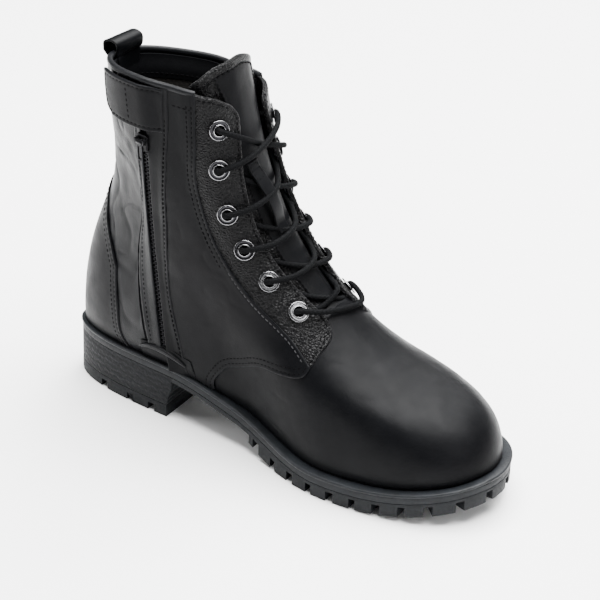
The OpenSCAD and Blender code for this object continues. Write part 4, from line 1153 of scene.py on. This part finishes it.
def turned_ring(place, section):
    """Verts and faces of a closed section of (radius, height) turned about an eyelet's axis."""
    a = np.linspace(0, 2 * math.pi, 49)[:-1]
    n = outward(*place)
    x = unit(np.cross(n, [0.2, 0.1, 1.0]))
    around = np.cos(a)[:, None] * x + np.sin(a)[:, None] * np.cross(n, x)
    verts = shape(*place) + section[:, None, :1] * around[None] + section[:, None, 1:] * n
    loop = np.concatenate([verts, verts[:1]])
    return loop.reshape(-1, 3), [grid_faces(len(loop), 48, closed=True)]


def rim_bead(place, radius, height, wide, high):
    """Ring of oval section on an eyelet's flange."""
    b = np.linspace(0, 2 * math.pi, 13)[:-1]
    return turned_ring(place, np.stack([radius + wide * np.cos(b), height + high * np.sin(b)], 1))


def make_eyelets():
    beads = ((5.80, 0.85, 0.20, 0.20), (3.42, 1.22, 0.24, 0.24))
    for name, places in (("medial", EYELETS), ("lateral", LATERAL_EYELETS)):
        rings = [turned_ring(place, EYELET_RING) for place in places]
        build(name + "_eyelet_rings", *together(rings), "eyelet", nodes=(name + "_eyelets",),
              slot="eyelet_metal", angle=60)
        # The rim beads' bright metal is a painted highlight along the outer and inner edges of each dark
        # eyelet.
        highlight_beads = [rim_bead(place, *bead) for place in places for bead in beads]
        build(name + "_eyelet_rim_painted_highlights", *together(highlight_beads), "rim", slot="eyelet_metal", angle=60)
    # Painted reflection: a bright metal face on the two lowest medial eyelets, which are the same dark metal
    # as the rest
    worn = [rim_bead(place, 4.5, 0.93, 1.05, 0.16) for place in EYELETS[:2]]
    build("medial_eyelet_painted_reflection_faces", *together(worn), "worn", slot="eyelet_metal", angle=60)


# ---- zip ----
TOOTH_PITCH = 2.6


def rounded_box(size, radius, n=5):
    """Verts and faces of a rounded box about the origin."""
    k = np.linspace(-1, 1, n)
    parts = []
    half = np.asarray(size, float) / 2
    for axis in range(3):
        for sign in (-1, 1):
            a, b = np.meshgrid(k, k)
            q = np.zeros((n, n, 3))
            q[..., axis], q[..., (axis + 1) % 3], q[..., (axis + 2) % 3] = sign, a, b
            q = q * half
            core = np.clip(q, -half + radius, half - radius)
            q = core + radius * unit(q - core)
            parts.append((q.reshape(-1, 3), [grid_faces(n, n)]))
    return together(parts)


def on_zip(verts, w):
    f = zip_frame(w)
    return f[3] + verts[:, :1] * f[0] + verts[:, 1:2] * f[1] + verts[:, 2:] * f[2]


def make_zip():
    count = int(ZIP_LEN * 0.97 / TOOTH_PITCH)
    base, faces = rounded_box((2.4, 1.3, TOOTH_H), 0.45)
    for name, side, phase in (("zip_teeth_front", 1, 0.0), ("zip_teeth_rear", -1, 0.5)):
        parts = []
        for k in range(count):
            moved = base + [side * 0.6, 0.5, TOOTH_TOP - TOOTH_H / 2]
            parts.append((on_zip(moved, 0.015 + (k + phase) * TOOTH_PITCH / ZIP_LEN), faces))
        build(name + "_row", *together(parts), "zip_metal", nodes=(name,), slot="zip_metal")
    for name, w, up in (("zip_top_stop", 1.0, 1.5), ("zip_bottom_stop", 0.0, -0.1)):
        base, faces = rounded_box((3.8, 3, TOOTH_H), 0.6)
        build(name + "_block", on_zip(base + [0.1, up, TOOTH_TOP - TOOTH_H / 2], w), faces, "zip_metal",
              nodes=(name,), slot="zip_metal")
    w = np.linspace(-0.01, 1.03, 160)
    f = zip_frame(w)
    verts, faces = swept(f[3] + 0.4 * f[0] + (TOOTH_TOP - TOOTH_H - 0.3) * f[2], f[0], f[2],
                         strap_profile(7.2, 0.5, 0.2))
    build("zip_tape_cloth", verts, faces, "tape", nodes=("zip_tape",), slot="zip_tape")
    cord = []
    a = np.linspace(0, 2 * math.pi, 9)[:-1]
    for x in (-2.2, 2.3):
        r = 0.5 * (1 + 0.18 * np.sin(w * ZIP_LEN * 2 * math.pi / 1.6))
        ring = np.stack([np.cos(a), np.sin(a)], 1)[None] * r[:, None, None]
        cord.append(swept(f[3] + x * f[0] + (TOOTH_TOP - 1.5) * f[2], f[0], f[2], ring))
    build("zip_tape_cords", *together(cord), "tape", slot="zip_tape")
    softened("zip_slider", "zip_metal", 0.25, "slider")
    softened("zip_puller", "zip_metal", 0.22, "puller")


def make_zip_foot():
    """Curved leather lip under the zip's lower end, with the dark slot above it and leather below it."""
    bottom = [[0.300, SOLE_T], [0.326, SOLE_T], [0.352, SOLE_T]]
    top = [[0.303, 0.120], [0.326, 0.135], [0.350, 0.120]]
    surface = on_skin(bottom, top, [bottom[0], top[0]], [bottom[-1], top[-1]])
    panel("zip_foot_leather", surface, "smooth", 0.4, 2.2, slot="leather", rumple=rumpled(0.15, 14, seed=43))
    line = [[0.352, 0.075], [0.343, 0.105], [0.330, 0.112], [0.318, 0.098], [0.308, 0.072]]
    u = np.linspace(0, 1, 80)
    place = along(line, u)
    s, t = place[:, 0], place[:, 1]
    centre = skin(s, t, np.full(80, 0.9))
    normal = outward(s, t)
    run = tangents(centre)
    side = unit(np.cross(normal, run))
    taper = np.sin(math.pi * clamp(u * 0.96 + 0.02)) ** 0.5
    profile = strap_profile(3.4, 2.2, 0.9, 0.2)[None] * taper[:, None, None]
    verts, faces = swept(centre, side, normal, profile)
    build("zip_foot_lip", verts, faces, "soft", slot="leather")


# ---- lace ----
LACE_R = 1.7
UNDER, OVER, EDGE_OVER, EDGE_UNDER, LOW_PASS, HIGH_PASS = -5.2, 2.6, 2.8, -3.6, -1.9, 1.8
LACE_TAIL = [[0.128, 0.895, -6.4], [0.146, 0.880, -8.6], [0.142, 0.850, -12.5], [0.132, 0.800, -13],
             [0.126, 0.740, -13], [0.120, 0.680, -13]]


def between(a, b, f, out):
    return [a[0] + (b[0] - a[0]) * f, a[1] + (b[1] - a[1]) * f, out]


def crossing(a, b, height):
    return [[*a, OVER], between(a, b, 0.24, EDGE_OVER), between(a, b, 0.5, height),
            between(a, b, 0.76, EDGE_UNDER), [*b, UNDER]]


def last_crossing(a, b, height):
    return [[*a, OVER], between(a, b, 0.24, EDGE_OVER), between(a, b, 0.5, height),
            between(a, b, 0.78, EDGE_OVER), [*b, OVER], [*b, UNDER]]


def half_lace(own, other, side, heights):
    low, high = heights
    route = [[own[0][0] * 0.5, own[0][1] - 0.004, EDGE_OVER + 0.4], [*own[0], OVER], [*own[0], UNDER],
             between(own[0], other[1], 0.27, EDGE_UNDER), between(own[0], other[1], 0.5, low),
             between(own[0], other[1], 0.73, EDGE_UNDER), [*other[1], UNDER]]
    route += crossing(other[1], own[2], high) + crossing(own[2], other[3], low)
    route += crossing(other[3], own[4], high) + last_crossing(own[4], other[5], low)
    return route + [[-side * p[0], p[1], p[2]] for p in LACE_TAIL]


def make_lace():
    route = np.array(reverse(half_lace(LATERAL_EYELETS, EYELETS, -1, (LOW_PASS, HIGH_PASS)))
                     + half_lace(EYELETS, LATERAL_EYELETS, 1, (HIGH_PASS, LOW_PASS)))
    knots = skin(route[:, 0], route[:, 1], route[:, 2])
    dense = along(knots, np.linspace(0, 1, 3000))
    total = np.linalg.norm(np.diff(dense, axis=0), axis=1).sum()
    count = int(total / 0.38)
    line = resampled(dense, count)
    normals = carried_normals(line, np.array([0.1, 0.3, 1.0]))
    side = np.cross(tangents(line), normals)
    sides = 20
    a = np.arange(sides) * 2 * math.pi / sides
    z = np.linspace(0, total, count)[:, None]
    twist = 2 * math.pi * z / 5.2
    strands = np.maximum(np.sin(4 * a[None] + 4 * twist / 2), np.sin(4 * a[None] - 4 * twist / 2))
    r = LACE_R * (0.93 + 0.10 * strands)
    ring = np.stack([r * np.cos(a), r * np.sin(a)], -1)
    verts, faces = swept(line, side, normals, ring)
    build("lace_braid", verts, faces, "lace", nodes=("lace",), slot="lace", angle=180)
    parts = []
    for end, before in ((line[0], line[6]), (line[-1], line[-7])):
        d = unit(end - before)
        n = 30
        x = np.linspace(-3.0, 16.0, n)
        centre = end + x[:, None] * d
        first = np.array([0.3, 1.0, 0.1])
        normal = np.repeat(unit(first - (first @ d) * d)[None], n, 0)
        radius = 1.78 * (1 - 0.25 * smooth((x - 13) / 3)) * (1 - 0.03 * (np.arange(n) % 2))
        ring = np.stack([np.cos(a), np.sin(a)], 1)[None] * radius[:, None, None]
        parts.append(swept(centre, np.cross(np.repeat(d[None], n, 0), normal), normal, ring))
    build("lace_tip_films", *together(parts), "tip", nodes=("lace_tips",), slot="lace_tip")


# ---- sole ----
def softened(node, material, width, body="boot", name=None, angle=24):
    """Copy of a CAD node with its edges rounded."""
    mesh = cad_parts[node].data.copy()
    b = bmesh.new()
    b.from_mesh(mesh)
    bmesh.ops.remove_doubles(b, verts=b.verts, dist=2e-6)
    bmesh.ops.dissolve_limit(b, angle_limit=math.radians(1.5), verts=b.verts, edges=b.edges)
    sharp = [e for e in b.edges if e.is_manifold and e.calc_face_angle(0) > math.radians(angle)]
    bmesh.ops.bevel(b, geom=sharp, offset=width * MM, segments=2, profile=0.6, affect="EDGES",
                    clamp_overlap=True)
    bmesh.ops.triangulate(b, faces=[f for f in b.faces if len(f.verts) > 4])
    bmesh.ops.recalc_face_normals(b, faces=b.faces)
    b.to_mesh(mesh)
    b.free()
    return finished(name or node + "_shaped", mesh, material, body, (node,), 30)


def plan_line(s, off, extra=2.5):
    """Outline of the sole, as x and y, off beyond the upper."""
    d = shape(s + 0.001, 0) - shape(s - 0.001, 0)
    n = unit(np.stack([-d[..., 1], d[..., 0]], -1))
    p = shape(s, 0)
    reach = off + extra * smooth((p[..., 0] + 60) / 60)
    return p[..., :2] + reach[..., None] * n


def sole_ring(name, profile, material, nodes, slot, count=420):
    """Closed band round the sole from a profile of (off, rise, extra)."""
    s = np.arange(count) / count
    columns = []
    for off, rise, extra in profile:
        xy = plan_line(s, off, extra)
        columns.append(np.concatenate([xy, (feather_z(xy[:, 0]) + rise)[:, None]], 1))
    columns.append(columns[0])
    verts = np.stack(columns)
    return build(name, verts.reshape(-1, 3), [grid_faces(len(columns), count, closed=True)], material,
                 nodes=nodes, slot=slot, merge=0.003)


def make_sole():
    edge = [(-5, -0.3, 0), (0.2, 0.0, 0.4), (1.6, 0.05, 2.5), (2.3, -0.15, 2.5), (2.65, -0.55, 2.5),
            (2.7, -1.4, 2.5), (2.5, -2.0, 2.5), (1.9, -2.35, 2.5), (-5, -2.35, 0)]
    sole_ring("welt_band", edge, "welt", ("welt",), "welt_rubber")
    softened("midsole", "midsole", 0.5)
    softened("outsole", "rubber", 0.45)
    softened("heel_block", "heel", 0.9)
    softened("heel_top_piece", "rubber", 0.8)


def dress_hidden_nodes():
    """Better materials on the CAD nodes that stay."""
    for node, material in (("insole_board", "board"), ("shank", "steel"), ("footbed", "footbed"),
                           ("toe_puff", "stiff"), ("counter_stiffener", "stiff"), ("vamp_lining", "lining"),
                           ("medial_washers", "steel"), ("lateral_washers", "steel")):
        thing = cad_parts[node]
        if not thing.material_slots:
            thing.data.materials.append(None)
        for k in thing.material_slots:
            k.material = M[material]


# ---- surroundings ----
def make_stage():
    mesh = bpy.data.meshes.new("floor")
    r = 6.0
    mesh.from_pydata([(-r, -r, 0), (r, -r, 0), (r, r, 0), (-r, r, 0)], [], [(0, 1, 2, 3)])
    m, tree, shader = new_material("floor")
    grain = noise(tree, object_coordinates(tree), 3.0)
    tree.links.new(blended(tree, grain, (0.86, 0.86, 0.86), (0.90, 0.90, 0.90)), shader.inputs["Base Color"])
    shader.inputs["Roughness"].default_value = 0.9
    shader.inputs["Specular IOR Level"].default_value = 0.1
    mesh.materials.append(m)
    floor = bpy.data.objects.new("floor", mesh)
    floor.location.z = -0.0002
    bpy.context.scene.collection.objects.link(floor)


def area_light(name, place, target, size, power, size_y=None):
    data = bpy.data.lights.new(name, "AREA")
    data.shape, data.size, data.size_y, data.energy = "RECTANGLE", size, size_y or size, power
    light = bpy.data.objects.new(name, data)
    light.location = place
    direction = Vector(target) - Vector(place)
    light.rotation_euler = direction.to_track_quat("-Z", "Y").to_euler()
    bpy.context.scene.collection.objects.link(light)


def make_lights():
    world = bpy.data.worlds.new("studio")
    world.use_nodes = True
    world.node_tree.nodes["Background"].inputs["Color"].default_value = (1.0, 1.0, 1.0, 1.0)
    world.node_tree.nodes["Background"].inputs["Strength"].default_value = 0.3
    bpy.context.scene.world = world
    area_light("top", (0.1, 0.3, 1.9), (0, 0, 0.1), 2.0, 330)
    area_light("key", (-1.4, -0.7, 0.9), (0, 0, 0.12), 0.8, 12)
    area_light("fill", (1.5, -0.4, 0.9), (0.05, 0, 0.1), 0.8, 12)
    area_light("rim", (-0.2, 1.5, 1.2), (0, 0, 0.12), 1.0, 30)


make_upper()
make_zip_strips()
make_facings()
make_tongue()
make_keeper()
make_linings()
make_collar()
make_pull_loop()
make_tab()
make_seam_stitches()
make_eyelets()
make_zip()
make_zip_foot()
make_lace()
make_sole()
dress_hidden_nodes()
make_stage()
make_lights()
